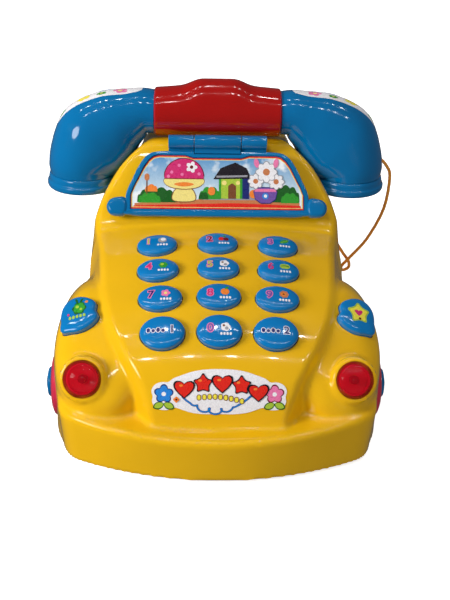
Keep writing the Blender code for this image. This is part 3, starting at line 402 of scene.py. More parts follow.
def combine(item, others, operation):
    """Boolean the other closed objects into item one after the other and remove them."""
    for other in others:
        change = item.modifiers.new(operation, "BOOLEAN")
        change.operation = operation
        change.solver = "MANIFOLD"
        change.object = other
        apply_modifiers(item)
        bpy.data.objects.remove(other, do_unlink=True)
    smooth(item)


def carve(item, cutters):
    """Cuts all the closed cutters out of item in one operation and removes them."""
    group = bpy.data.collections.new("cutters")
    bpy.context.scene.collection.children.link(group)
    for cutter in cutters:
        bpy.context.scene.collection.objects.unlink(cutter)
        group.objects.link(cutter)
    change = item.modifiers.new("carve", "BOOLEAN")
    change.operation = "DIFFERENCE"
    change.solver = "MANIFOLD"
    change.operand_type = "COLLECTION"
    change.collection = group
    apply_modifiers(item)
    for cutter in cutters:
        bpy.data.objects.remove(cutter, do_unlink=True)
    bpy.data.collections.remove(group)
    smooth(item)


def loft(name, rings, material=None, closed=False, sharp=SHARP_ANGLE):
    """Closed skin through rings of equal length; closed joins the last ring to the first."""
    count = len(rings[0])
    verts = [p for ring in rings for p in ring]
    faces = []
    for r in range(len(rings) if closed else len(rings) - 1):
        s = (r + 1) % len(rings)
        for i in range(count):
            j = (i + 1) % count
            faces.append((r * count + i, r * count + j, s * count + j, s * count + i))
    if not closed:
        last = (len(rings) - 1) * count
        faces.append(tuple(range(count))[::-1])
        faces.append(tuple(range(last, last + count)))
    item = add_mesh(name, verts, faces, material, sharp)
    face_outward(item)
    return item


def frame_from(normal, side=(1.0, 0.0, 0.0)):
    n = Vector(normal).normalized()
    u = Vector(side)
    u = (u - n * u.dot(n)).normalized()
    return u, n.cross(u), n


def placed(outline, height, centre, axes):
    u, v, n = axes
    c = Vector(centre)
    return [tuple(c + u * a + v * b + n * height) for a, b in outline]


def oval(rx, ry, count):
    return [(rx * math.cos(TAU * i / count), ry * math.sin(TAU * i / count)) for i in range(count)]


def turned(name, profile, centre, normal, count=64, side=(1.0, 0.0, 0.0), material=None,
           closed=False):
    """Solid of revolution; profile is (radius, height) pairs along the normal."""
    axes = frame_from(normal, side)
    rings = [placed(oval(r, r, count), h, centre, axes) for r, h in profile]
    return loft(name, rings, material, closed)


def turned_x(name, profile, y, z, sign=1.0, count=24, material=None, closed=False):
    """Solid of revolution about a line along X; its heights run the way of sign."""
    return turned(name, profile, (0.0, y, z), (sign, 0.0, 0.0), count, (0.0, 1.0, 0.0),
                  material, closed)


def rounded_profile(points, radius, steps=5):
    """(radius, height) profile with every inner corner replaced by a small arc."""
    done = [points[0]]
    for i in range(1, len(points) - 1):
        here = Vector(points[i])
        before = Vector(points[i - 1]) - here
        after = Vector(points[i + 1]) - here
        reach = min(radius, 0.45 * before.length, 0.45 * after.length)
        start = here + before.normalized() * reach
        end = here + after.normalized() * reach
        for s in range(steps + 1):
            t = s / steps
            point = start * (1.0 - t) ** 2 + here * (2.0 * t * (1.0 - t)) + end * t * t
            done.append((point.x, point.y))
    done.append(points[-1])
    return done


def smooth_path(points, steps):
    """Catmull-Rom points through tuples of any length."""
    route = [np.array(p, float) for p in points]
    route = [route[0] * 2.0 - route[1]] + route + [route[-1] * 2.0 - route[-2]]
    done = []
    for i in range(1, len(route) - 2):
        a, b, c, d = route[i - 1:i + 3]
        for s in range(steps):
            t = s / steps
            done.append(0.5 * (2.0 * b + (c - a) * t + (2.0 * a - 5.0 * b + 4.0 * c - d) * t * t
                               + (3.0 * b - a - 3.0 * c + d) * t ** 3))
    done.append(route[-2])
    return done


def soften(outline, rounds=3):
    """Corner cutting on a closed outline."""
    points = [Vector(p) for p in outline]
    for _ in range(rounds):
        cut = []
        for i, p in enumerate(points):
            q = points[(i + 1) % len(points)]
            cut.append(p * 0.75 + q * 0.25)
            cut.append(p * 0.25 + q * 0.75)
        points = cut
    return [(p.x, p.y) for p in points]


def inset(outline, amount):
    """Closed counter-clockwise outline moved inward by amount."""
    points = [Vector(p) for p in outline]
    done = []
    for i, p in enumerate(points):
        along = (points[(i + 1) % len(points)] - points[i - 1]).normalized()
        done.append((p.x - along.y * amount, p.y + along.x * amount))
    return done


def slab(name, outline, layers, centre, axes, material=None):
    """Stack of inset outlines: layers holds (height, inset) pairs."""
    rings = [placed(inset(outline, amount), height, centre, axes) for height, amount in layers]
    return loft(name, rings, material)


def join_body(item, body, slot_name, *nodes):
    """Rides the piece on its body and hides the nodes that it stands for; slot_name is not used.
    """
    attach(item, body)
    if nodes:
        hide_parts(*nodes)
    return item


# ---- field of the body ----------------------------------------------------------------------
def smooth_min(a, b, k):
    h = np.clip(0.5 + 0.5 * (b - a) / k, 0.0, 1.0)
    return b * (1.0 - h) + a * h - k * h * (1.0 - h)


def smooth_max(a, b, k):
    return -smooth_min(-a, -b, k)


def curve(points, value, blur=0.0):
    xs = [p[0] for p in points]
    ys = [p[1] for p in points]
    if blur == 0.0:
        return np.interp(value, xs, ys)
    steps = (-1.0, -0.6, -0.2, 0.2, 0.6, 1.0)
    return sum(np.interp(value + step * blur, xs, ys) for step in steps) / len(steps)


def profile_height(y):
    return curve(PROFILE, y, 4.0)


def profile_slope(y):
    return profile_height(y + 0.5) - profile_height(y - 0.5)


def lamp_reach(ax, y, z):
    """Distance along the lamp's axis and out from it."""
    lamp = np.array(LAMP_DIR) / np.linalg.norm(LAMP_DIR)
    px = ax - LAMP[0]
    py = y - LAMP[1]
    pz = z - LAMP[2]
    along = px * lamp[0] + py * lamp[1] + pz * lamp[2]
    return along, np.sqrt(np.maximum(px * px + py * py + pz * pz - along * along, 0.0))


def body_field(x, y, z):
    """Distance out of the moulding, in about millimetres: below 0 inside."""
    ax = np.abs(x)
    slope = profile_slope(y)
    top = (z - profile_height(y) + ax * ax / CROWN) / np.sqrt(1.0 + slope * slope)
    behind = (-top - NARROW_DEPTH[0]) / (NARROW_DEPTH[1] - NARROW_DEPTH[0])
    behind = np.maximum(behind, (y - NARROW_Y[0]) / (NARROW_Y[1] - NARROW_Y[0]))
    behind = np.clip(behind, 0.0, 1.0)
    behind = behind * behind * (3.0 - 2.0 * behind)
    by_height = curve(HALF_BY_Z, z, 3.0) - behind * curve(NARROW_BY_Z, z, 6.0)
    ahead = np.minimum((SIDE_DRAFT_END - y) / SIDE_DRAFT_FADE[1],
                       (y - SIDE_DRAFT_START) / SIDE_DRAFT_FADE[0])
    ahead = np.clip(ahead, 0.0, 1.0)
    splay = ahead * SIDE_DRAFT * np.clip(profile_height(y) - z, 0.0, SIDE_DRAFT_DEPTH)
    half = np.minimum(curve(HALF_BY_Y, y, 6.0) + splay, by_height)
    value = smooth_max(top, ax - half, HOOD_EDGE)
    for cx, cy, cz, rx, ry, rz in FENDERS:
        dx = np.abs(ax - cx) / rx
        dy = np.abs(y - cy) / ry
        dz = np.maximum(z - cz, 0.0) / rz
        reach = dx ** FENDER_POWER + dy ** FENDER_POWER + dz ** FENDER_POWER
        fender = (reach ** (1.0 / FENDER_POWER) - 1.0) * rx
        if cy < 0.0:
            fx, fy, fz = FENDER_FACE
            nx, ny, nz = FENDER_FACE_DIR
            face = (ax - fx) * nx + (y - fy) * ny + (z - fz) * nz
            fender = smooth_max(fender, face, FACE_BLEND)
        value = smooth_min(value, fender, FENDER_BLEND)
    draft = SKIRT_DRAFT * (SKIRT_TOP - z)
    ends = np.maximum(y - SKIRT_REAR, SKIRT_FRONT - y) + ax * ax / SKIRT_BOW
    plan = smooth_max(ax - SKIRT_HALF + draft, ends, SKIRT_CORNER)
    skirt = smooth_max(plan, z - SKIRT_TOP - SKIRT_RISE * ax * ax, SKIRT_EDGE)
    value = smooth_min(value, skirt, SKIRT_BLEND)
    along, radial = lamp_reach(ax, y, z)
    collar = smooth_max(radial - LAMP_R - LAMP_RIM, np.abs(along + 7.0) - 8.2, COLLAR_BLEND)
    return smooth_min(value, collar, COLLAR_BLEND)


def outer_field(x, y, z):
    """The moulding, cut off at the open bottom and by the handset's cradle."""
    value = np.maximum(body_field(x, y, z), FLOOR_GAP - z)
    cradle = GRIP_R + 0.8 - np.hypot(y - GRIP_Y, z - GRIP_Z)
    return smooth_max(value, cradle, 3.0)


def inner_field(x, y, z):
    """The cavity: a wall's thickness inside, less the wheel housings and the lamp seats."""
    value = outer_field(x, y, np.maximum(z, 9.0)) + WALL
    for axle_y in AXLE_Y:
        housing = np.maximum(np.abs(y - axle_y) - WELL_R - WALL, z - HOUSING_TOP)
        housing = np.maximum(housing, WELL_IN - WALL - np.abs(x))
        value = smooth_max(value, -housing, 4.0)
    along, radial = lamp_reach(np.abs(x), y, z)
    seat = np.maximum(radial - LAMP_R - 1.8, np.abs(along + 3.0) - 4.0)
    value = smooth_max(value, -seat, 2.0)
    return np.maximum(value, -z - 3.0)


def net_surface(field, low, high, cell):
    """Closed quad surface where the field crosses zero (one vertex per crossed cell)."""
    axes = [np.arange(low[i], high[i] + cell, cell) for i in range(3)]
    gx, gy, gz = np.meshgrid(*axes, indexing="ij")
    value = field(gx, gy, gz)
    inside = value < 0.0
    shape = [n - 1 for n in value.shape]
    total = np.zeros(shape + [3])
    count = np.zeros(shape)

    def part(array, corner):
        i, j, k = corner
        return array[i:i + shape[0], j:j + shape[1], k:k + shape[2]]

    for start in [(i, j, k) for i in (0, 1) for j in (0, 1) for k in (0, 1)]:
        for axis in range(3):
            if start[axis] == 1:
                continue
            end = list(start)
            end[axis] = 1
            a = part(value, start)
            b = part(value, end)
            crossed = (a < 0.0) != (b < 0.0)
            share = np.where(crossed, a / np.where(crossed, a - b, 1.0), 0.0)
            for i in range(3):
                offset = start[i] + (share if i == axis else 0.0)
                total[..., i] += np.where(crossed, offset, 0.0)
            count += crossed
    used = count > 0
    index = -np.ones(shape, dtype=int)
    index[used] = np.arange(int(used.sum()))
    verts = (np.argwhere(used) + total[used] / count[used][:, None]) * cell + np.array(low)
    faces = []
    for axis in range(3):
        others = [i for i in range(3) if i != axis]
        near = [slice(1, -1)] * 3
        far = [slice(1, -1)] * 3
        near[axis] = slice(0, -1)
        far[axis] = slice(1, None)
        a = inside[tuple(near)]
        b = inside[tuple(far)]
        starts = np.argwhere(a != b) + 1
        starts[:, axis] -= 1
        sign = a[a != b]
        ring = []
        for du, dv in ((0, 0), (-1, 0), (-1, -1), (0, -1)):
            spot = starts.copy()
            spot[:, others[0]] += du
            spot[:, others[1]] += dv
            ring.append(index[spot[:, 0], spot[:, 1], spot[:, 2]])
        quad = np.stack(ring, axis=1)
        flip = sign if axis != 1 else ~sign
        quad[~flip] = quad[~flip][:, ::-1]
        faces.append(quad)
    return verts, np.concatenate(faces)


def settle(field, verts, rounds=2):
    """Moves vertices onto the surface along the field's gradient."""
    e = 0.2
    for _ in range(rounds):
        x, y, z = verts[:, 0], verts[:, 1], verts[:, 2]
        value = field(x, y, z)
        slope = np.stack((field(x + e, y, z) - field(x - e, y, z),
                          field(x, y + e, z) - field(x, y - e, z),
                          field(x, y, z + e) - field(x, y, z - e)), axis=1) / (2.0 * e)
        size = np.maximum((slope * slope).sum(axis=1), 0.25)
        verts = verts - slope * (value / size)[:, None]
    return verts


def scalar(function, x, y, z):
    return float(function(np.float64(x), np.float64(y), np.float64(z)))


def on_surface(x, y, start_z):
    """Height of the body surface above (x, y) and the outward normal there."""
    z = start_z
    while scalar(body_field, x, y, z) > 0.0:
        z -= 0.25
    low = z
    high = z + 0.25
    for _ in range(20):
        mid = 0.5 * (low + high)
        if scalar(body_field, x, y, mid) > 0.0:
            high = mid
        else:
            low = mid
    e = 1.5
    grad = []
    for dx, dy, dz in ((e, 0, 0), (0, e, 0), (0, 0, e)):
        grad.append(scalar(body_field, x + dx, y + dy, mid + dz)
                    - scalar(body_field, x - dx, y - dy, mid - dz))
    return mid, Vector(grad).normalized()


def key_places():
    """(name, point on the panel, outward normal, half axes) of each key."""
    places = []
    for (y, out_x, half_x, half_v), names in zip(KEY_ROWS, KEY_NAMES):
        angle = math.atan(float(profile_slope(y)))
        for column, name in zip((-1, 0, 1), names):
            x = column * out_x
            z = float(profile_height(y)) - x * x / CROWN
            roll = 2.0 * x / CROWN
            n = Vector((math.sin(roll), -math.sin(angle), math.cos(angle))).normalized()
            places.append((name, Vector((x, y, z)), n, (half_x, half_v)))
    return places


def side_place(sign):
    z, n = on_surface(sign * SIDE[0], SIDE[1], 90.0)
    return Vector((sign * SIDE[0], SIDE[1], z)), n


def lamp_place(sign):
    n = Vector((sign * LAMP_DIR[0], LAMP_DIR[1], LAMP_DIR[2])).normalized()
    return Vector((sign * LAMP[0], LAMP[1], LAMP[2])), n


def flap_axes():
    n = Vector((0.0, -math.sin(FLAP_ANGLE), math.cos(FLAP_ANGLE)))
    v = Vector((0.0, math.cos(FLAP_ANGLE), math.sin(FLAP_ANGLE)))
    return Vector((1.0, 0.0, 0.0)), v, n


def flap_foot():
    return Vector((0.0,) + FLAP_FOOT)


def hinge_axis():
    axes = flap_axes()
    return flap_foot() + axes[1] * HINGE_UP + axes[2] * HINGE_OUT


# ---- flat shapes for prints: closed outlines of (u, v) millimetres ---------------------------
def disc(u, v, r, count=28):
    return [(u + a, v + b) for a, b in oval(r, r, count)]


def blossom(u, v, r, petals, depth=0.28, turn=0.0, count=60):
    done = []
    for i in range(count):
        a = TAU * i / count
        reach = r * (1.0 - depth + depth * abs(math.cos(0.5 * petals * (a - turn))))
        done.append((u + reach * math.cos(a), v + reach * math.sin(a)))
    return done


def star(u, v, r, waist=0.52, points=5):
    done = []
    for i in range(2 * points):
        a = TAU * i / (2 * points) + 0.5 * math.pi
        reach = r if i % 2 == 0 else r * waist
        done.append((u + reach * math.cos(a), v + reach * math.sin(a)))
    return soften(done, 2)


def heart(u, v, r, count=36):
    done = []
    for i in range(count):
        a = TAU * i / count
        x = 16.0 * math.sin(a) ** 3
        y = 13.0 * math.cos(a) - 5.0 * math.cos(2.0 * a) - 2.0 * math.cos(3.0 * a)
        done.append((u - x * r / 17.0, v + y * r / 17.0))
    return done


def petal(u, v, length, width, angle, count=20):
    """Pointed leaf from (u, v) outward at the angle in degrees."""
    a = math.radians(angle)
    done = []
    for i in range(count):
        t = TAU * i / count
        along = 0.5 * length * (1.0 - math.cos(t))
        across = 0.5 * width * math.sin(t) * (0.6 + 0.4 * abs(math.sin(t)))
        done.append((u + along * math.cos(a) + across * math.sin(a),
                     v + along * math.sin(a) - across * math.cos(a)))
    return done[::-1]


def ribbon(points, width):
    """Band of even width along a line of points."""
    left = []
    right = []
    for i, p in enumerate(points):
        before = Vector(points[max(i - 1, 0)])
        after = Vector(points[min(i + 1, len(points) - 1)])
        along = (after - before).normalized()
        left.append((p[0] - along.y * 0.5 * width, p[1] + along.x * 0.5 * width))
        right.append((p[0] + along.y * 0.5 * width, p[1] - along.x * 0.5 * width))
    return right + left[::-1]


def strip(points, width):
    """The same band as quads, for a line that crosses itself: (points, faces)."""
    edge = ribbon(points, width)
    last = len(edge) - 1
    return edge, [(i, i + 1, last - i - 1, last - i) for i in range(len(points) - 1)]


def capsule(u, v, half_u, half_v, count=24):
    r = min(half_u, half_v)
    done = []
    for i in range(count):
        a = TAU * (i + 0.5) / count
        done.append((u + math.copysign(half_u - r, math.cos(a)) + r * math.cos(a),
                     v + math.copysign(half_v - r, math.sin(a)) + r * math.sin(a)))
    return done


def digit(text, u, v, size, bold=0.0):
    """Filled glyph of Blender's own font: (points, faces) centred on (u, v)."""
    glyph = bpy.data.curves.new("glyph", "FONT")
    glyph.body = text
    glyph.size = size
    glyph.offset = bold
    glyph.align_x = "CENTER"
    glyph.align_y = "CENTER"
    item = bpy.data.objects.new("glyph", glyph)
    bpy.context.scene.collection.objects.link(item)
    bpy.context.view_layer.update()
    graph = bpy.context.evaluated_depsgraph_get()
    mesh = bpy.data.meshes.new_from_object(item.evaluated_get(graph))
    points = [(p.co.x + u, p.co.y + v) for p in mesh.vertices]
    faces = [tuple(f.vertices) for f in mesh.polygons]
    bpy.data.objects.remove(item, do_unlink=True)
    bpy.data.meshes.remove(mesh)
    return points, faces


PRINT_LIFT = 0.05         # the lowest ink above its surface, and each layer above the last
PRINT_STEP = 0.008
PRINT_MERGE = 0.004
PRINT_SPLITS = 6


def printed(name, shapes, place, fineness=1.2):
    """Thin inks on a surface. shapes holds (ink, outline or (points, faces)), lowest first;
    place(u, v, lift) gives the layout point."""
    verts = []
    faces = []
    slots = []
    inks = []
    for layer, (colour, shape) in enumerate(shapes):
        points, polygons = shape if isinstance(shape, tuple) else (shape, [range(len(shape))])
        mesh = bmesh.new()
        corners = [mesh.verts.new((p[0], p[1], 0.0)) for p in points]
        for polygon in polygons:
            mesh.faces.new([corners[i] for i in polygon])
        bmesh.ops.remove_doubles(mesh, verts=mesh.verts, dist=PRINT_MERGE)
        bmesh.ops.triangulate(mesh, faces=mesh.faces[:])
        for _ in range(PRINT_SPLITS):
            far = [e for e in mesh.edges if e.calc_length() > fineness]
            if not far:
                break
            bmesh.ops.subdivide_edges(mesh, edges=far, cuts=1)
            bmesh.ops.triangulate(mesh, faces=[f for f in mesh.faces if len(f.verts) > 3])
        mesh.normal_update()
        mesh.verts.index_update()
        start = len(verts)
        lift = PRINT_LIFT + PRINT_STEP * layer
        verts += [tuple(place(p.co.x, p.co.y, lift)) for p in mesh.verts]
        if colour not in inks:
            inks.append(colour)
        for face in mesh.faces:
            loop = [start + p.index for p in face.verts]
            faces.append(loop if face.normal.z > 0.0 else loop[::-1])
            slots.append(inks.index(colour))
        mesh.free()
    item = add_mesh(name, verts, faces, sharp=60.0)
    for colour in inks:
        item.data.materials.append(INKS[colour])
    item.data.polygons.foreach_set("material_index", slots)
    return item


# ---- body shell -----------------------------------------------------------------------------
BODY_CELL = 1.5
CAVITY_CELL = 3.0
KEY_HOLE = ((-5.4, 0.0), (-0.35, 0.0), (0.25, -0.45), (6.0, -0.45))   # height, inset: flared lip
SIDE_HOLE = ((1.0, -5.0, 9.0), (1.15, -12.0, -3.1))     # scale of the outline, from, to
LAMP_SEAT = (             # radius, height
    (3.3, -14.0), (3.3, -3.3), (LAMP_R, -3.3), (LAMP_R, 1.3), (LAMP_R + 0.6, 2.1),
    (LAMP_R + 0.6, 9.0),
)


def leaf_radius(t):
    """Two lobes with a dip on the inner side and a point at the lower outer corner."""
    dip = 2.4 * math.exp(-((math.remainder(t - 0.15, TAU)) / 0.30) ** 2)
    point = 2.6 * math.exp(-((math.remainder(t - 3.95, TAU)) / 0.28) ** 2)
    return SIDE_R - dip + point + 0.5 * math.cos(3.0 * t)


def leaf(scale, mirror, count=72):
    """Outline of a side button; mirror is -1 on the right one."""
    points = []
    for i in range(count):
        t = TAU * i / count
        r = leaf_radius(t)
        points.append((mirror * r * scale * math.cos(t), r * scale * math.sin(t)))
    return points[::-1] if mirror < 0 else points


def make_body():
    """The moulding: its surface, hollowed, then cut for keys, buttons, lamps, wheels and axles."""
    verts, faces = net_surface(outer_field, BODY_LOW, BODY_HIGH, BODY_CELL)
    body = add_mesh("car_shell", settle(outer_field, verts), faces, YELLOW)
    below = BODY_LOW[:2] + (-8.0,)        # the cavity runs out through the open bottom
    cutters = [add_mesh("cavity", *net_surface(inner_field, below, BODY_HIGH, CAVITY_CELL))]
    for _, centre, n, half in key_places():
        hole = oval(half[0] * KEY_SKIRT + KEY_GAP, half[1] * KEY_SKIRT + KEY_GAP, 64)
        cutters.append(slab("hole", hole, KEY_HOLE, centre, frame_from(n)))
    for sign in (-1, 1):
        centre, n = side_place(sign)
        axes = frame_from(n)
        for scale, start, end in SIDE_HOLE:
            layers = ((start, 0.0), (end, 0.0))
            cutters.append(slab("hole", leaf(scale, -sign), layers, centre, axes))
        centre, n = lamp_place(sign)
        cutters.append(turned("hole", LAMP_SEAT, centre, n))
    for axle_y in AXLE_Y:
        for sign in (-1.0, 1.0):
            cutters.append(turned_x("well", ((WELL_R, WELL_IN), (WELL_R, 120.0)),
                                    axle_y, WHEEL_R, sign, 72))
        hole = ((AXLE_R + AXLE_GAP, -80.0), (AXLE_R + AXLE_GAP, 80.0))
        cutters.append(turned_x("hole", hole, axle_y, WHEEL_R))
    carve(body, cutters)
    join_body(body, "car_body", "yellow_plastic", "body_shell")


# ---- keys and their prints --------------------------------------------------------------------
def dome_shares(count=12):
    """Shares of a dome's half width, from its rim to just short of its middle."""
    return [math.cos(0.5 * math.pi * (i + 0.4) / (count + 0.5)) for i in range(count)]


def key_dome(share):
    """Height of a key's top at a share of its half axes, 0 at the middle."""
    flat = min(share / KEY_SKIRT, 1.0)
    return KEY_SHOULDER + (KEY_RISE - KEY_SHOULDER) * math.sqrt(1.0 - flat ** 3.2)


def make_key(name, centre, n, half):
    """Domed oval cap on a flange and a round stem."""
    axes = frame_from(n)
    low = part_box(name)[0].z / MM
    tilted_rim = 2.5      # the frame's lowest point is the rim of the tilted stem
    reach = (centre.z - low) / n.z - tilted_rim
    reach = min(STEM_REACH[1], max(STEM_REACH[0], reach))
    rings = [(STEM_R, STEM_R, height) for height in (-reach, KEY_FLANGE[1])]
    layers = [(KEY_FLANGE[0], KEY_FLANGE[1]), (KEY_FLANGE[0], KEY_FLANGE[2]),
              (KEY_SKIRT, KEY_FLANGE[2]), (KEY_SKIRT, -2.0), (KEY_SKIRT, 1.2)]
    layers += [(KEY_SKIRT * share, key_dome(KEY_SKIRT * share)) for share in dome_shares()]
    rings += [(half[0] * share, half[1] * share, height) for share, height in layers]
    outlines = [placed(oval(rx, ry, 64), height, centre, axes) for rx, ry, height in rings]
    item = loft(name + "_cap", outlines, KEY_BLUE)
    join_body(item, name + "_body", "key_blue", name)
    return axes


def key_picture(kind):
    """Small plain picture to the right of the digit: (ink, outline) pairs."""
    u = 3.4
    v = 1.3
    pictures = {
        "flower": [("pink", blossom(u, v, 2.7, 5)), ("cream", disc(u, v, 0.9))],
        "fruit": [("orange", disc(u, v, 2.4)), ("green", petal(u, v + 2.0, 2.8, 1.4, 40.0))],
        "bush": [("green", blossom(u, v, 2.7, 6, 0.2)), ("lime", disc(u - 0.6, v + 0.5, 1.0))],
        "melon": [("lime", capsule(u, v, 3.0, 2.1)), ("dark_green", ribbon(
            [(u - 2.4, v), (u, v + 0.5), (u + 2.4, v)], 0.6))],
        "leaf": [("green", petal(u - 2.8, v - 1.4, 6.4, 3.4, 28.0)), ("lime", ribbon(
            [(u - 2.2, v - 1.1), (u + 2.0, v + 1.1)], 0.4))],
        "berry": [("red", disc(u - 1.3, v - 0.4, 1.7)), ("dark_red", disc(u + 1.5, v - 0.6, 1.6)),
                  ("green", petal(u, v + 1.0, 2.6, 1.3, 60.0))],
        "moon": [("grey", disc(u, v, 2.5)), ("white", disc(u + 0.5, v + 0.6, 1.5))],
        "sun": [("orange", star(u, v, 3.0, 0.66, 8)), ("tan", disc(u, v, 1.6))],
        "shell": [("tan", blossom(u, v, 2.7, 7, 0.14)), ("orange", disc(u - 0.3, v, 1.4)),
                  ("brown", disc(u - 0.3, v, 0.6))],
        "cloud": [("white", blossom(u, v, 2.8, 5, 0.16)), ("grey", disc(u + 0.6, v - 0.9, 1.0)),
                  ("brown", disc(u - 1.0, v + 0.9, 0.7))],
    }
    return pictures[kind]


KEY_PRINTS = {            # digit, its ink, its picture
    "key_1": ("1", "lime", "moon"), "key_2": ("2", "dark_red", "berry"),
    "key_3": ("3", "violet", "leaf"), "key_4": ("4", "deep_pink", "bush"),
    "key_5": ("5", "lime", "cloud"), "key_6": ("6", "deep_pink", "melon"),
    "key_7": ("7", "navy", "flower"), "key_8": ("8", "deep_pink", "fruit"),
    "key_9": ("9", "violet", "shell"), "key_0": ("0", "violet", "cloud"),
}


DIGIT_PLACE = (-4.9, 0.6)
DIGIT_SIZE = 7.2
DIGIT_BOLD = (0.55, 0.12)             # of the pink edge and of the digit in front of it
MODE_PLACE = (5.6, 0.6)
MODE_SIZE = 6.4


def make_key_print(name, centre, axes, half):
    """Digit, picture and four dots; a mode key has four large dots and its digit instead."""
    def place(u, v, lift):
        share = math.hypot(u / half[0], v / half[1])
        return centre + axes[0] * u + axes[1] * v + axes[2] * (key_dome(share) + lift)

    shapes = []
    if name in KEY_PRINTS:
        text, colour, kind = KEY_PRINTS[name]
        for shade, bold in zip(("pink", colour), DIGIT_BOLD):
            shapes.append((shade, digit(text, *DIGIT_PLACE, DIGIT_SIZE, bold)))
        shapes += key_picture(kind)
        for i in range(4):
            shapes.append(("white", capsule(1.0 + 1.7 * i, -2.9, 0.62, 0.85)))
    else:
        text = "1" if name.endswith("left") else "2"
        for colour, grow in (("white", 0.35), ("navy", 0.0)):
            for i in range(4):
                tall = 1.35 if i % 2 == 0 else 1.0
                shapes.append((colour, capsule(-7.4 + 2.7 * i, 0.2 + tall - 1.2, 0.95 + grow,
                                               tall + grow)))
            bold = 0.5 if grow else 0.15
            shapes.append((colour, digit(text, *MODE_PLACE, MODE_SIZE, bold)))
    item = printed(name + "_print", shapes, place, 1.0)
    join_body(item, name + "_body", "printed_sticker")


# ---- side buttons -----------------------------------------------------------------------------
SIDE_SKIRT = 0.97         # share of the outline that shows above the moulding
SIDE_SHOULDER = 1.3
SIDE_DOME = 2.3


def side_dome(share):
    """Height of a side button's top at a share of its outline, 0 at the middle."""
    return SIDE_SHOULDER + SIDE_DOME * math.sqrt(1.0 - min(share, 1.0) ** 3.4)


def make_side_button(side, sign):
    centre, n = side_place(sign)
    axes = frame_from(n)
    mirror = -sign
    name = "side_button_" + side
    layers = [(1.0, -5.5), (1.09, -5.5), (1.09, -4.0), (SIDE_SKIRT, -4.0), (SIDE_SKIRT, 1.0)]
    layers += [(SIDE_SKIRT * share, side_dome(share)) for share in dome_shares()]
    rings = [placed(leaf(scale, mirror), height, centre, axes) for scale, height in layers]
    join_body(loft(name + "_cap", rings, KEY_BLUE), name + "_body", "key_blue", name)

    def place(u, v, lift):
        edge = leaf_radius(math.atan2(v, mirror * u)) * SIDE_SKIRT
        height = side_dome(math.hypot(u, v) / edge) + lift
        return centre + axes[0] * u + axes[1] * v + axes[2] * height

    if sign < 0:
        shapes = [("dark_green", blossom(0.6, 2.4, 4.3, 6, 0.16)),
                  ("green", blossom(0.6, 2.6, 3.6, 5, 0.2)),
                  ("lime", disc(-0.6, 3.4, 1.0)), ("lime", disc(1.7, 1.6, 0.8)),
                  ("dark_green", petal(-0.6, 6.0, 3.6, 1.5, 115.0)),
                  ("dark_green", petal(0.8, 6.0, 3.4, 1.5, 65.0)), ("orange", disc(4.6, 6.4, 0.9))]
        for i in range(5):
            shapes.append(("lime", capsule(-4.4 + 2.1 * i, -3.6 + 0.25 * i, 0.75, 1.05)))
        shapes.append(("deep_pink", disc(-5.6, -1.2, 0.7)))
    else:
        shapes = [("lime", star(0.6, 0.6, 8.0, 0.56)), ("yellow", star(0.6, 0.6, 6.6, 0.56)),
                  ("deep_pink", heart(0.5, 0.9, 2.6)), ("dark_red", disc(0.9, -3.1, 0.8))]
    item = printed(name + "_print", shapes, place, 1.2)
    join_body(item, name + "_body", "printed_sticker")


# ---- lamps ------------------------------------------------------------------------------------
LED_R = 2.5
LENS_WALL = 1.4


def dome_arc(radius, base, rise, steps):
    """(radius, height) points up a dome's quarter arc, without its two ends."""
    angles = [0.5 * math.pi * i / steps for i in range(1, steps)]
    return [(radius * math.cos(t), base + rise * math.sin(t)) for t in angles]


def make_lamp(side, sign):
    """Clear dome over a pale bowl, with the diode standing in the bowl's middle."""
    centre, n = lamp_place(sign)
    r = LAMP_R - 0.3
    inner = r - LENS_WALL
    dome = dome_arc(r, 1.2, 5.2, 15)
    hollow = dome_arc(inner, 0.8, 4.2, 15)
    tip = [(0.25, 6.4), (0.25, 5.0)]
    profile = [(r, -3.0), (r, 1.2)] + dome + tip + hollow[::-1] + [(inner, 0.8), (inner, -3.0)]
    lens = turned("lamp_dome_" + side, profile, centre, n, 64, material=LENS_RED, closed=True)
    plug = turned("plug", ((0.5, 4.9), (0.5, 6.42)), centre, n, 16)
    combine(lens, [plug], "UNION")
    join_body(lens, "car_body", "red_lens", "lamp_lens_" + side)
    socket = LED_R + 0.2
    bowl_wall = [(socket, -3.0), (r - 1.6, -3.0), (r - 1.6, 0.6), (r - 2.2, 0.6)]
    bowl_floor = [(r - 3.0, -1.4), (socket, -2.4)]
    bowl = turned("lamp_bowl_" + side, bowl_wall + bowl_floor, centre, n, 64, material=LAMP_BOWL,
                  closed=True)
    join_body(bowl, "car_body", "red_lens")
    bullet = [(LED_R, -8.4), (LED_R, 0.6)] + dome_arc(LED_R, 0.6, LED_R, 9)
    led = turned("lamp_bullet_" + side, bullet, centre, n, 32, material=LED)
    join_body(led, "car_body", "led_epoxy", "lamp_led_" + side)


# ---- windscreen flap --------------------------------------------------------------------------
WING_HALF = ((54.6, 0.6), (62.5, 0.2), (66.2, 1.8), (67.9, 5.6), (67.0, 9.4), (63.6, 12.2),
             (54.6, 12.8))
FRAME_HALF = ((0.0, 0.4), (30.0, 0.4), (56.6, 0.4), (56.4, 7.0), (56.2, 13.5), (54.4, 18.6),
              (52.2, 23.0), (50.5, 27.2), (48.6, 31.0), (45.6, 36.0), (42.4, 39.0), (38.4, 40.6),
              (30.0, 41.0), (20.0, 41.0), (0.0, 41.0))
PICTURE_HALF = ((0.0, 4.6), (30.0, 4.6), (53.4, 4.6), (53.4, 13.5), (51.4, 18.8), (49.0, 23.5),
                (45.4, 31.0), (42.4, 35.4), (39.6, 37.8), (36.4, 38.6), (20.0, 38.6), (15.0, 37.0),
                (0.0, 37.0))
FLAP_BACK = -3.6          # heights out of the flap's plane
RECESS = -0.9
SHEET = (-0.6, -0.35)     # back and face of the picture sheet


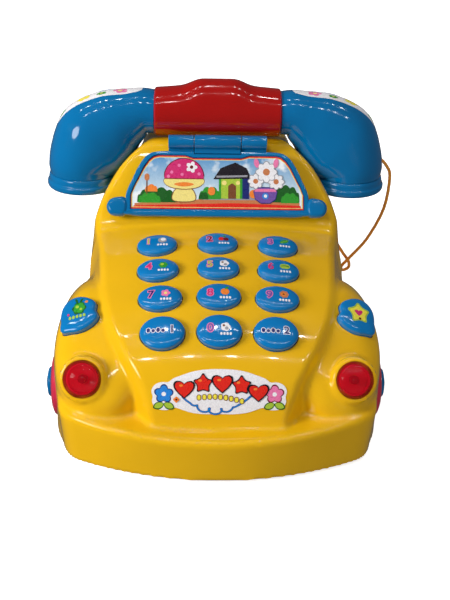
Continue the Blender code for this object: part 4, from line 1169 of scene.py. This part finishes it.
def mirrored(half):
    """Full outline from its right half, listed from the bottom centre up."""
    inner = [p for p in half if p[0] > 0.0]
    return [half[0]] + inner + [half[-1]] + [(-x, v) for x, v in reversed(inner)]


def pillow(low, high, edge, steps=5):
    """(height, inset) layers of a slab with a rounded upper edge and a small lower one."""
    layers = [(low, 0.4), (low + 0.4, 0.0), (high - edge, 0.0)]
    for i in range(1, steps + 1):
        t = 0.5 * math.pi * i / steps
        layers.append((high - edge + edge * math.sin(t), edge * (1.0 - math.cos(t))))
    return layers


def knuckle(name, radius, start, end, material=None):
    """Barrel on the hinge axis, from start to end along X, with rounded rims."""
    pin = hinge_axis()
    barrel = ((3.0, start), (radius, start), (radius, end), (3.0, end))
    return turned_x(name, rounded_profile(barrel, 0.4), pin.y, pin.z, 1.0, 48, material)


def pin_bore():
    pin = hinge_axis()
    return turned_x("bore", ((PIN_BORE_R, -50.0), (PIN_BORE_R, 50.0)), pin.y, pin.z)


def make_flap():
    """Framed flap with its foot bar, wings and knuckles, and the roof's own knuckle."""
    axes = flap_axes()
    foot = flap_foot()
    flap = slab("windscreen_frame", soften(mirrored(FRAME_HALF), 2), pillow(FLAP_BACK, 0.5, 0.8),
                foot, axes, BLUE)
    parts = []
    bar = soften([(-57.0, 0.3), (57.0, 0.3), (57.0, 4.3), (-57.0, 4.3)], 1)
    parts.append(slab("bar", bar, pillow(FLAP_BACK + 0.2, 1.0, 1.0), foot, axes))
    for sign in (-1.0, 1.0):
        wing = [(sign * x, v) for x, v in WING_HALF]
        wing = soften(wing if sign > 0.0 else wing[::-1], 3)
        parts.append(slab("wing", wing, pillow(FLAP_BACK + 0.1, 1.3, 2.6), foot, axes))
        ends = sorted((sign * KNUCKLE_IN, sign * KNUCKLE_OUT))
        parts.append(knuckle("knuckle", HINGE_R, *ends))
        middle = foot + axes[0] * (0.5 * (ends[0] + ends[1])) + axes[1] * 42.0 - axes[2] * 2.0
        half = 0.5 * (KNUCKLE_OUT - KNUCKLE_IN) - 0.1
        block = [(-half, -3.0), (half, -3.0), (half, 3.0), (-half, 3.0)]
        parts.append(slab("leaf", block, ((-1.15, 0.0), (1.15, 0.0)), middle, axes))
    combine(flap, parts, "UNION")
    half = KNUCKLE_IN - 0.05
    gap = [(-half, 39.0), (half, 39.0), (half, 57.0), (-half, 57.0)]
    cutters = [slab("notch", gap, ((-10.0, 0.0), (10.0, 0.0)), foot, axes)]
    cutters.append(slab("window", mirrored(PICTURE_HALF), ((RECESS, 0.0), (9.0, 0.0)), foot, axes))
    cutters.append(pin_bore())
    combine(flap, cutters, "DIFFERENCE")
    join_body(flap, "flap", "blue_plastic", "windscreen_flap")
    half = KNUCKLE_IN - 0.4
    bracket = knuckle("roof_knuckle", HINGE_R + 0.2, -half, half, BLUE)
    block = [(-half, 39.5), (half, 39.5), (half, 46.0), (-half, 46.0)]
    combine(bracket, [slab("block", block, pillow(-4.0, 0.6, 0.6), foot, axes)], "UNION")
    combine(bracket, [pin_bore()], "DIFFERENCE")
    join_body(bracket, "car_body", "blue_plastic", "hinge_bracket")


def crown(u, v, width, height, bumps, count=40):
    """Scalloped bush with a flat foot at v."""
    done = []
    for i in range(count + 1):
        t = i / count
        lump = 0.16 * height * abs(math.sin(math.pi * bumps * t))
        done.append((u + 0.5 * width * math.cos(math.pi * t),
                     v + (height - 0.16 * height) * math.sin(math.pi * t) ** 0.8 + lump))
    return done


def make_flap_picture():
    axes = flap_axes()
    foot = flap_foot()
    outline = mirrored(PICTURE_HALF)

    def shrunk(across, up, middle):
        return [(x * across, middle + (v - middle) * up) for x, v in outline]

    backing = slab("picture_sheet", shrunk(0.99, 0.975, 21.0),
                   ((SHEET[0], 0.0), (SHEET[1], 0.0)), foot, axes, INKS["red"])
    join_body(backing, "flap", "printed_sticker", "flap_picture")

    def place(u, v, lift):
        return foot + axes[0] * u + axes[1] * v + axes[2] * (SHEET[1] + lift)

    inner = shrunk(0.972, 0.90, 21.6)
    pale = shrunk(0.982, 0.925, 21.3)
    path = [(-50.6, 6.6), (50.6, 6.6), (50.6, 9.4), (16.0, 11.6), (-6.0, 11.4), (-50.6, 8.4)]
    kerb = [(-51.2, 6.2), (51.2, 6.2), (51.2, 7.6), (10.0, 8.9), (-51.2, 6.9)]
    shapes = [("cream", pale), ("sky", inner), ("tan", path), ("red", kerb),
              ("grey", [(-10.0, 10.8), (26.0, 10.8), (20.0, 14.6), (-6.0, 14.2)])]
    bushes = (("dark_green", -37.0, 9.0, 24.0, 9.6, 6), ("green", -41.5, 8.7, 13.5, 6.6, 4),
              ("orange", -40.5, 15.6, 7.6, 4.6, 3), ("green", -4.5, 11.2, 13.0, 8.0, 4),
              ("dark_green", -8.5, 11.0, 6.0, 5.0, 2), ("dark_green", 42.0, 9.6, 17.0, 11.0, 5),
              ("green", 44.6, 9.2, 11.0, 6.6, 4))
    shapes += [(bush[0], crown(*bush[1:])) for bush in bushes]
    shapes.append(("brown", [(-43.6, 14.0), (-42.8, 14.0), (-42.8, 24.0), (-43.6, 24.0)]))
    shapes.append(("tan", capsule(-43.2, 24.6, 1.5, 2.2)))
    shapes += toadstool(-20.5, 9.4)
    shapes += cottage(9.0, 11.6)
    shapes += daisy_pot(29.5, 9.0)
    item = printed("picture_print", shapes, place, 6.0)
    join_body(item, "flap", "printed_sticker")


def toadstool(u, v):
    """Pink spotted cap with a white blossom on a cream foot."""
    cap = [(u + 12.0 * math.cos(a), v + 14.6 + 12.2 * math.sin(a) ** 0.9)
           for a in [math.pi * i / 24.0 for i in range(25)]]
    under = [(u - 13.6, v + 14.6), (u - 10.6, v + 9.4), (u, v + 7.6), (u + 10.6, v + 9.4),
             (u + 13.6, v + 14.6), (u, v + 16.4)]
    stem = [(u - 4.6, v + 9.0), (u - 7.6, v + 3.0), (u - 6.2, v + 0.2), (u + 6.2, v + 0.2),
            (u + 7.6, v + 3.0), (u + 4.6, v + 9.0)]
    shapes = [("brown", soften(inset(stem, -0.6), 2)), ("cream", soften(stem, 2)),
              ("brown", soften(inset(under, -0.5), 2)), ("cream", soften(under, 2)),
              ("orange", soften([(u - 8.0, v + 11.0), (u, v + 9.0), (u + 8.0, v + 11.0),
                                 (u, v + 12.6)], 2)),
              ("dark_red", inset(cap, -0.5)), ("deep_pink", cap)]
    for du, dv in ((-7.6, 18.4), (-3.0, 22.6), (-1.2, 17.0), (9.2, 17.4), (-9.6, 15.8)):
        shapes.append(("pink", disc(u + du, v + dv, 1.0, 14)))
    shapes.append(("white", blossom(u + 4.6, v + 21.6, 3.6, 5, 0.4)))
    shapes.append(("dark_red", disc(u + 4.6, v + 21.6, 1.1, 16)))
    return shapes


def upright(u, v, height, width):
    """Upright bar with its foot at (u, v)."""
    return ribbon([(u, v), (u, v + height)], width)


def cottage(u, v):
    """Lime walls with a navy side, a black roof, and a round bush at each side."""
    wall = [(u - 8.0, v), (u + 8.0, v), (u + 8.0, v + 13.0), (u - 8.0, v + 13.0)]
    roof = [(u - 11.6, v + 12.0), (u + 11.6, v + 12.6), (u + 9.0, v + 19.0), (u + 2.0, v + 22.6),
            (u - 7.0, v + 19.0)]
    side = [(u + 6.0, v), (u + 10.4, v), (u + 10.4, v + 12.8), (u + 6.0, v + 12.8)]
    door = [(u - 2.4, v), (u + 2.4, v), (u + 2.4, v + 8.0), (u, v + 9.6), (u - 2.4, v + 8.0)]
    return [("lime", wall), ("navy", side), ("green", upright(u - 7.4, v, 12.6, 1.4)),
            ("green", upright(u + 5.6, v, 12.6, 1.4)), ("black", roof),
            ("grey", ribbon([(u - 9.6, v + 13.6), (u + 9.4, v + 14.2)], 1.2)),
            ("brown", door), ("cream", disc(u - 4.8, v + 9.8, 1.5, 16)),
            ("cream", disc(u + 3.6, v + 9.8, 1.3, 16)),
            ("orange", capsule(u + 13.4, v + 3.0, 2.8, 2.6)),
            ("orange", capsule(u - 12.6, v + 4.6, 2.2, 2.6))]


def daisy_pot(u, v):
    """White daisies with grey shade in a violet pot."""
    pot = [(u - 5.6, v + 0.2), (u + 5.6, v + 0.2), (u + 7.6, v + 9.6), (u - 7.6, v + 9.6)]
    shapes = [("navy", soften(inset(pot, -0.6), 1)), ("violet", soften(pot, 1)),
              ("pink", ribbon([(u - 6.6, v + 8.0), (u + 6.6, v + 8.0)], 1.8)),
              ("blue", disc(u, v + 4.4, 2.0)), ("white", disc(u, v + 4.4, 1.0))]
    for du, dv, r in ((-6.0, 13.6, 4.6), (6.6, 13.4, 4.8), (0.6, 19.4, 6.4)):
        shapes.append(("grey", blossom(u + du, v + dv, r + 0.5, 8, 0.22)))
        shapes.append(("white", blossom(u + du, v + dv, r, 8, 0.26)))
        shapes.append(("tan", disc(u + du, v + dv, 0.34 * r)))
    return shapes + [("pink", petal(u - 5.0, v + 22.0, 6.0, 3.2, 100.0)),
                     ("pink", petal(u + 6.0, v + 22.0, 6.0, 3.2, 80.0))]


# ---- handset ----------------------------------------------------------------------------------
HUMP_SHAPE = ((0.0, 1.0), (0.28, 1.0), (0.4, 0.72), (0.5, 0.38), (0.62, 0.22), (1.0, 0.0))
ARM_STEPS = 8


def make_grip():
    """Sleeve with rounded ends and a thumb rise along its top."""
    rings = []
    count = 96
    for i in range(73):
        x = 2.0 * i / 72.0 - 1.0
        x = math.copysign(abs(x) ** 0.8, x)
        edge = max(abs(x) * GRIP_HALF - (GRIP_HALF - 1.4), 0.0) / 1.4
        radius = GRIP_R - 1.3 * (1.0 - math.sqrt(max(1.0 - edge * edge, 0.0)))
        hump = HUMP * float(curve(HUMP_SHAPE, abs(x), 0.06))
        ring = []
        for a, b in oval(radius, radius, count):
            lift = hump * max(b / radius, 0.0) ** 2
            ring.append((x * GRIP_HALF, GRIP_Y + a, GRIP_Z + b + lift))
        rings.append(ring)
    grip = loft("handset_sleeve", rings, RED)
    join_body(grip, "handset", "red_plastic", "handset_grip")


def arm_sections(sign):
    """(centre, axes, radius along Y, radius in the bend plane) down one arm."""
    knots = [(sign * x, z, plane, across) for x, z, plane, across in ARM_PATH]
    route = smooth_path(knots, ARM_STEPS)
    centres = [Vector((p[0], GRIP_Y, p[1])) for p in route]
    done = []
    for i, p in enumerate(route):
        along = centres[min(i + 1, len(route) - 1)] - centres[max(i - 1, 0)]
        if i >= len(route) - ARM_STEPS:
            along = Vector((0.0, 0.0, -1.0))
        done.append((centres[i], frame_from(along, (0.0, 1.0, 0.0)), p[3], p[2]))
    return done


def make_arm(side, sign):
    """Bent end of the handset, and the sticker that follows its top."""
    sections = arm_sections(sign)
    rings = [placed(oval(across, plane, 96), 0.0, c, axes) for c, axes, across, plane in sections]
    start = placed(oval(sections[0][2] - 0.6, sections[0][3] - 0.6, 96), -0.12, sections[0][0],
                   sections[0][1])
    arm = loft("handset_end_" + side, [start] + rings, BLUE)
    join_body(arm, "handset", "blue_plastic", "handset_arm_" + side)
    lengths = [0.0]
    for a, b in zip(sections, sections[1:]):
        lengths.append(lengths[-1] + (b[0] - a[0]).length)
    index = list(range(len(sections)))

    def place(u, v, lift):
        spot = float(np.interp(u, lengths, index))
        i = min(int(spot), len(sections) - 2)
        t = spot - i
        points = []
        for c, axes, across, plane in sections[i:i + 2]:
            angle = v / plane
            along_y = (across + lift) * math.sin(angle)
            outward = sign * (plane + lift) * math.cos(angle)
            points.append(c + axes[0] * along_y + axes[1] * outward)
        return points[0].lerp(points[1], t)

    middle = 27.0         # of the sticker, along the arm from the grip, and back from its crest
    back = 1.0
    outline = soften([(-19.0, -9.0), (18.0, -10.0), (23.0, 0.0), (18.0, 10.0), (-18.0, 9.0),
                      (-22.0, 0.0)], 3)
    shapes = [("white", [(middle + a, back + b) for a, b in outline])]
    spots = ((-13.0, -3.4, "pink", 3.6), (-5.0, 2.6, "blue", 3.4), (3.6, -3.6, "yellow", 3.6),
             (10.4, 3.6, "pink", 3.2), (16.0, -3.0, "green", 2.6), (-13.4, 4.0, "orange", 2.2),
             (2.6, 5.4, "deep_pink", 1.8), (-4.4, -5.4, "green", 2.0))
    for a, b, colour, r in spots:
        shapes.append((colour, blossom(middle + a, back + b, r, 5)))
        shapes.append(("cream", disc(middle + a, back + b, 0.32 * r, 16)))
    sticker = printed("arm_sticker_" + side, shapes, place, 1.6)
    join_body(sticker, "handset", "printed_sticker")


def make_cap(name, cad_name, sign):
    """Rim that closes a cup, with two rings of sound holes round a middle one."""
    height = CAP_TOP - CAP_BOTTOM
    lip = ((0.0, 0.9), (CAP_R - 6.4, 0.9), (CAP_R - 5.2, 0.0), (CAP_R - 0.9, 0.0),
           (CAP_R, 1.3), (CAP_R, 3.8), (CAP_R - 1.0, 4.9), (CAP_R - 1.25, 7.6),
           (CAP_R - 2.0, height), (0.0, height))
    profile = rounded_profile(lip, 0.9)
    profile[0] = (0.2, profile[0][1])
    profile[-1] = (0.2, profile[-1][1])
    centre = (sign * CUP_X, GRIP_Y, CAP_BOTTOM)
    cap = turned(name, profile, centre, (0.0, 0.0, 1.0), 96, material=BLUE)
    holes = []
    for ring, count in ((0.0, 1), (5.0, 6), (10.0, 12)):
        for i in range(count):
            a = TAU * i / count
            spot = (centre[0] + ring * math.cos(a), centre[1] + ring * math.sin(a), CAP_BOTTOM)
            holes.append(turned("hole", ((1.0, -1.0), (1.0, 3.0)), spot, (0.0, 0.0, 1.0), 20))
    carve(cap, holes)
    join_body(cap, "handset", "blue_plastic", cad_name)


# ---- wheels -----------------------------------------------------------------------------------
def make_wheel(where, axle_y, inset_by, side, sign):
    """Tyre with a groove and a dished face, and the stepped cap on its hub."""
    inner = WHEEL_IN - inset_by
    outer = WHEEL_OUT - inset_by
    bore = AXLE_R + 0.1
    shape = ((bore, inner + 0.4), (WHEEL_R - 1.5, inner), (WHEEL_R, inner + 1.5),
             (WHEEL_R, inner + 6.0), (WHEEL_R - 0.5, inner + 6.4), (WHEEL_R - 0.5, inner + 7.2),
             (WHEEL_R, inner + 7.6), (WHEEL_R, outer - 5.0), (WHEEL_R - 1.2, outer - 2.6),
             (WHEEL_R - 4.5, outer - 1.2), (13.2, outer - 1.6), (12.6, outer - 2.2),
             (11.4, outer - 2.2), (10.8, outer - 1.1), (bore, outer - 1.0))
    profile = rounded_profile(shape, 0.7, 4)
    name = "%s_%s" % (where, side)
    wheel = turned_x("tyre_" + name, profile, axle_y, WHEEL_R, sign, 96, WHEEL_RED, closed=True)
    join_body(wheel, where + "_axle", "wheel_red", "wheel_" + name)
    button = ((0.2, outer - 0.6), (9.0, outer - 0.6), (9.0, outer + 0.9), (8.0, outer + 2.0),
              (6.4, outer + 1.7), (5.2, outer + 2.4), (3.0, outer + 3.0), (0.2, outer + 3.0))
    cap = turned_x("hub_" + name, rounded_profile(button, 0.7), axle_y, WHEEL_R, sign, 72, BLUE)
    join_body(cap, where + "_axle", "blue_plastic", "hub_cap_" + name)


# ---- front label ------------------------------------------------------------------------------
LABEL_BACK = 0.25         # from the moulding to the lowest ink
NOSE_X = np.arange(-40.0, 40.5, 1.0)
NOSE_Z = np.arange(26.0, 62.5, 1.0)
LABEL_MID = 43.0          # height that the label's drawing is squeezed about, then raised from
LABEL_SQUEEZE = 0.86
LABEL_RAISE = 3.2
LABEL_HALF = (
    (0.0, 30.6), (8.0, 30.4), (15.0, 31.2), (20.0, 33.0), (24.0, 34.6), (26.0, 33.2),
    (30.0, 32.4), (34.4, 33.6), (36.6, 37.4), (35.8, 40.4), (37.0, 43.6), (35.2, 47.0),
    (31.4, 48.6), (27.6, 48.2), (25.4, 50.4), (20.6, 52.2), (14.0, 54.4), (7.0, 55.4),
    (0.0, 55.6),
)


def nose_depths(height):
    """y of the surface offset by height in front of the nose, over the NOSE_X by NOSE_Z grid."""
    x, z = np.meshgrid(NOSE_X, NOSE_Z, indexing="ij")
    low = np.full(x.shape, -130.0)
    high = np.full(x.shape, -76.0)
    for _ in range(24):
        mid = 0.5 * (low + high)
        outside = body_field(x, mid, z) > height
        low = np.where(outside, mid, low)
        high = np.where(outside, high, mid)
    return mid


def grid_value(grid, x, z):
    """Bilinear value of a NOSE_X by NOSE_Z grid."""
    i = min(max(x - NOSE_X[0], 0.0), len(NOSE_X) - 1.001)
    j = min(max(z - NOSE_Z[0], 0.0), len(NOSE_Z) - 1.001)
    a, b = int(i), int(j)
    s, t = i - a, j - b
    low = grid[a, b] * (1.0 - t) + grid[a, b + 1] * t
    high = grid[a + 1, b] * (1.0 - t) + grid[a + 1, b + 1] * t
    return low * (1.0 - s) + high * s


def coil_line(turns=6.0, count=96):
    """Sagging line of the plaque, with small loops where it dips."""
    line = []
    for i in range(count):
        t = i / (count - 1.0)
        swing = 1.7 * math.sin(math.pi * min(max((t - 0.12) / 0.6, 0.0), 1.0)) ** 0.5
        turn = TAU * turns * t
        sag = 10.0 * math.sin(math.pi * t) ** 0.8 - 2.6 * t
        line.append((-20.0 + 39.0 * t + swing * math.cos(turn),
                     41.0 - sag + swing * math.sin(turn)))
    return line


def make_label():
    """White plaque with a flower at each side, five tokens, nine capsules and a coil line."""
    shapes = [("white", soften(mirrored(LABEL_HALF), 2))]
    for sign, colour, edge in ((-1.0, "blue", "navy"), (1.0, "pink", "dark_red")):
        u = sign * 30.0
        for tilt in (205.0, 335.0):
            shapes.append(("dark_green", petal(u, 36.6, 6.3, 4.4, tilt)))
            shift = 0.4 * math.cos(math.radians(tilt))
            shapes.append(("lime", petal(u + shift, 36.5, 5.2, 3.2, tilt)))
        shapes.append((edge, blossom(u, 42.0, 5.4, 5, 0.3, 0.3)))
        shapes.append((colour, blossom(u, 42.0, 4.7, 5, 0.3, 0.3)))
        shapes.append(("white", disc(u, 42.0, 1.2, 18)))
    coil = coil_line()
    shapes += [("navy", strip(coil, 1.15)), ("blue", strip(coil, 0.7))]
    for i in range(9):
        u = -11.0 + 2.9 * i
        v = 40.4 + 1.4 * math.sin(math.pi * i / 8.0) - 0.25 * i
        shapes.append(("brown", capsule(u, v, 1.3, 1.75)))
        shapes.append(("yellow", capsule(u, v, 0.9, 1.35)))
    tokens = ((-19.0, 45.4, heart), (-8.8, 48.2, star), (1.6, 48.6, heart), (12.0, 47.2, star),
              (21.2, 43.6, heart))
    for u, v, shape in tokens:
        shapes.append(("black", shape(u, v, 6.3)))
        shapes.append(("red", shape(u, v, 5.3)))
        shapes.append(("orange", capsule(u - 1.7, v + 1.6, 1.0, 0.6, 12)))
    shapes.append(("orange", blossom(-23.2, 39.2, 1.7, 4)))
    shapes.append(("dark_red", disc(-23.2, 39.2, 0.6, 12)))

    grid = nose_depths(LABEL_BACK)

    def place(u, v, lift):
        z = LABEL_MID + (v - LABEL_MID) * LABEL_SQUEEZE + LABEL_RAISE
        return (u, grid_value(grid, u, z) - lift, z)

    item = printed("nose_sticker", shapes, place, 1.6)
    join_body(item, "car_body", "printed_sticker", "front_label")


# ---- cord -------------------------------------------------------------------------------------
CORD_SIDES = 18
CORD_LAY = 7.0            # length of one turn of the twisted strands
STRAND_BULGE = 0.15       # of a strand past the cord's own radius, as a share of it


def make_cord():
    """Three twisted strands of soft string."""
    route = smooth_path(CORD_ROUTE, 14)
    points = [Vector(p) for p in route]
    rings = []
    run = 0.0
    side = Vector((0.3, 1.0, 0.2))
    for i, p in enumerate(points):
        along = points[min(i + 1, len(points) - 1)] - points[max(i - 1, 0)]
        u, v, _ = frame_from(along, side)
        side = u
        if i > 0:
            run += (p - points[i - 1]).length
        turn = TAU * run / CORD_LAY
        ring = []
        for k in range(CORD_SIDES):
            a = TAU * k / CORD_SIDES
            r = CORD_R * (1.0 + STRAND_BULGE * abs(math.cos(1.5 * (a - turn))))
            ring.append(tuple(p + u * (r * math.cos(a)) + v * (r * math.sin(a))))
        rings.append(ring)
    cord = loft("string", rings, STRING, sharp=80.0)
    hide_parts("handset_cord")
    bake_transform(cord)


# ---- carried-over pieces ------------------------------------------------------------------------
def finish_cad_nodes():
    """Materials for the frame's own pieces: the inner ones stay as they are."""
    finishes = {
        "yellow_plastic": YELLOW, "blue_plastic": BLUE, "key_blue": KEY_BLUE, "red_plastic": RED,
        "wheel_red": WHEEL_RED, "red_lens": LENS_RED, "led_epoxy": LED, "printed_sticker": PAPER,
        "orange_cord": STRING, "mat_rubber": MAT, "board_green": BOARD, "speaker_metal": STEEL,
        "cell_wrap": CELL, "black_plastic": BLACK, "zinc_steel": STEEL,
    }
    for row in frame["record"]["subparts"]:
        item = frame["nodes"][row["node"]]
        item.data.materials.clear()
        item.data.materials.append(finishes[row["material_slot"]])


# ---- stage ------------------------------------------------------------------------------------
FILL = 0.24               # world light on the object
BACKDROP = 1.0            # world light that the camera sees
REFLECTED = 0.07          # world light in the object's gloss
FLOOR_GLOW = 0.78
FLOOR_REACH = 6.0


def make_floor():
    """Pale floor that glows a little, left out of the object's own gloss and fill."""
    material, tree, shader = blank("pale_floor")
    vary_colour(tree, shader, (0.93, 0.93, 0.93), 0.01, 3.0)
    shader.inputs["Roughness"].default_value = 0.7
    shader.inputs["Specular IOR Level"].default_value = 0.1
    shader.inputs["Emission Color"].default_value = (1.0, 1.0, 1.0, 1.0)
    shader.inputs["Emission Strength"].default_value = FLOOR_GLOW
    mesh = bpy.data.meshes.new("floor")
    corners = [(x * FLOOR_REACH, y * FLOOR_REACH, 0.0)
               for x, y in ((-1, -1), (1, -1), (1, 1), (-1, 1))]
    mesh.from_pydata(corners, [], [(0, 1, 2, 3)])
    mesh.materials.append(material)
    floor = bpy.data.objects.new("floor", mesh)
    bpy.context.scene.collection.objects.link(floor)
    floor.visible_diffuse = False
    floor.visible_glossy = False


def make_camera():
    a = math.radians(CAMERA_AZIMUTH)
    e = math.radians(CAMERA_ELEVATION)
    r = math.radians(CAMERA_ROLL)
    back = Vector((math.sin(a) * math.cos(e), -math.cos(a) * math.cos(e), math.sin(e)))
    right = Vector((math.cos(a), math.sin(a), 0.0))
    up = Vector((-math.sin(a) * math.sin(e), math.cos(a) * math.sin(e), math.cos(e)))
    across = right * math.cos(r) + up * math.sin(r)
    above = up * math.cos(r) - right * math.sin(r)
    turn = Matrix((across, above, back)).transposed()
    camera = bpy.data.cameras.new("camera")
    camera.sensor_fit = "VERTICAL"
    camera.sensor_height = 36.0
    camera.lens = CAMERA_LENS
    camera.clip_start = 0.01
    holder = bpy.data.objects.new("camera", camera)
    bpy.context.scene.collection.objects.link(holder)
    place = (Vector(CAMERA_TARGET) + back * CAMERA_DISTANCE) * MM
    holder.matrix_world = Matrix.Translation(place) @ turn.to_4x4()
    bpy.context.scene.camera = holder


def add_area(name, place, size, power, colour=(1.0, 1.0, 1.0), glossy=True, diffuse=True):
    """Round area light aimed at the object's centre."""
    light = bpy.data.lights.new(name, "AREA")
    light.shape = "DISK"
    light.size = size
    light.energy = power
    light.color = colour
    holder = bpy.data.objects.new(name, light)
    bpy.context.scene.collection.objects.link(holder)
    holder.location = place
    holder.visible_glossy = glossy
    holder.visible_diffuse = diffuse
    aim = Vector(CENTRE) - Vector(place)
    holder.rotation_euler = aim.to_track_quat("-Z", "Y").to_euler()


def make_world():
    """White backdrop, even fill, and a dim room in the reflections."""
    world = bpy.data.worlds.new("studio")
    world.use_nodes = True
    tree = world.node_tree
    ray = tree.nodes.new("ShaderNodeLightPath")
    fill = tree.nodes.new("ShaderNodeMapRange")
    fill.inputs["To Min"].default_value = FILL
    fill.inputs["To Max"].default_value = BACKDROP
    gloss = tree.nodes.new("ShaderNodeMix")
    gloss.inputs[3].default_value = REFLECTED
    tree.links.new(ray.outputs["Is Camera Ray"], fill.inputs["Value"])
    tree.links.new(ray.outputs["Is Glossy Ray"], gloss.inputs[0])
    tree.links.new(fill.outputs["Result"], gloss.inputs[2])
    tree.nodes["Background"].inputs["Color"].default_value = (1.0, 1.0, 1.0, 1.0)
    tree.links.new(gloss.outputs[0], tree.nodes["Background"].inputs["Strength"])
    bpy.context.scene.world = world


CENTRE = (0.0, 0.0, 0.08)
SOFT_LIGHTS = (           # place, size, watts, colour: they shape the object, unseen in its gloss
    ("key", (-0.95, -0.42, 0.5), 0.5, 12.5, (1.0, 0.98, 0.95)),
    ("top", (-0.35, -0.35, 1.4), 0.3, 4.0, (1.0, 1.0, 1.0)),
    ("low", (0.5, -0.95, 0.14), 0.4, 2.0, (1.0, 1.0, 1.0)),
    ("rear", (0.7, 1.1, 0.7), 0.6, 7.0, (1.0, 1.0, 1.0)),
)
CEILING_ROWS = ((-0.9, -0.75, 1.3), (-1.0, -0.1, 1.3))    # first lamp of each row
CEILING_STEP = 0.2
CEILING_LAMPS = 10


def make_lights():
    """Soft lights, then a window and rows of ceiling lamps that show in the gloss alone."""
    for name, place, size, power, colour in SOFT_LIGHTS:
        add_area(name, place, size, power, colour, glossy=False)
    add_area("window", (-0.8, -0.72, 0.55), 0.34, 1.7, diffuse=False)
    for row, (x, y, z) in enumerate(CEILING_ROWS):
        for i in range(CEILING_LAMPS):
            name = "ceiling_%d_%d" % (row + 1, i + 1)
            add_area(name, (x + CEILING_STEP * i, y, z), 0.05, 0.22, diffuse=False)


def main():
    make_camera()
    finish_cad_nodes()
    make_cord()
    make_body()
    for name, centre, n, half in key_places():
        axes = make_key(name, centre, n, half)
        make_key_print(name, centre, axes, half)
    for side, sign in (("left", -1), ("right", 1)):
        make_side_button(side, sign)
        make_lamp(side, sign)
        make_arm(side, sign)
        for where, axle_y, inset_by in zip(("front", "rear"), AXLE_Y, (0.0, REAR_INSET)):
            make_wheel(where, axle_y, inset_by, side, sign)
    make_flap()
    make_flap_picture()
    make_grip()
    make_cap("mouth_rim", "mouthpiece_cap", -1.0)
    make_cap("ear_rim", "earpiece_cap", 1.0)
    make_label()
    make_floor()
    make_world()
    make_lights()
    bpy.context.scene.view_settings.view_transform = "Standard"


main()
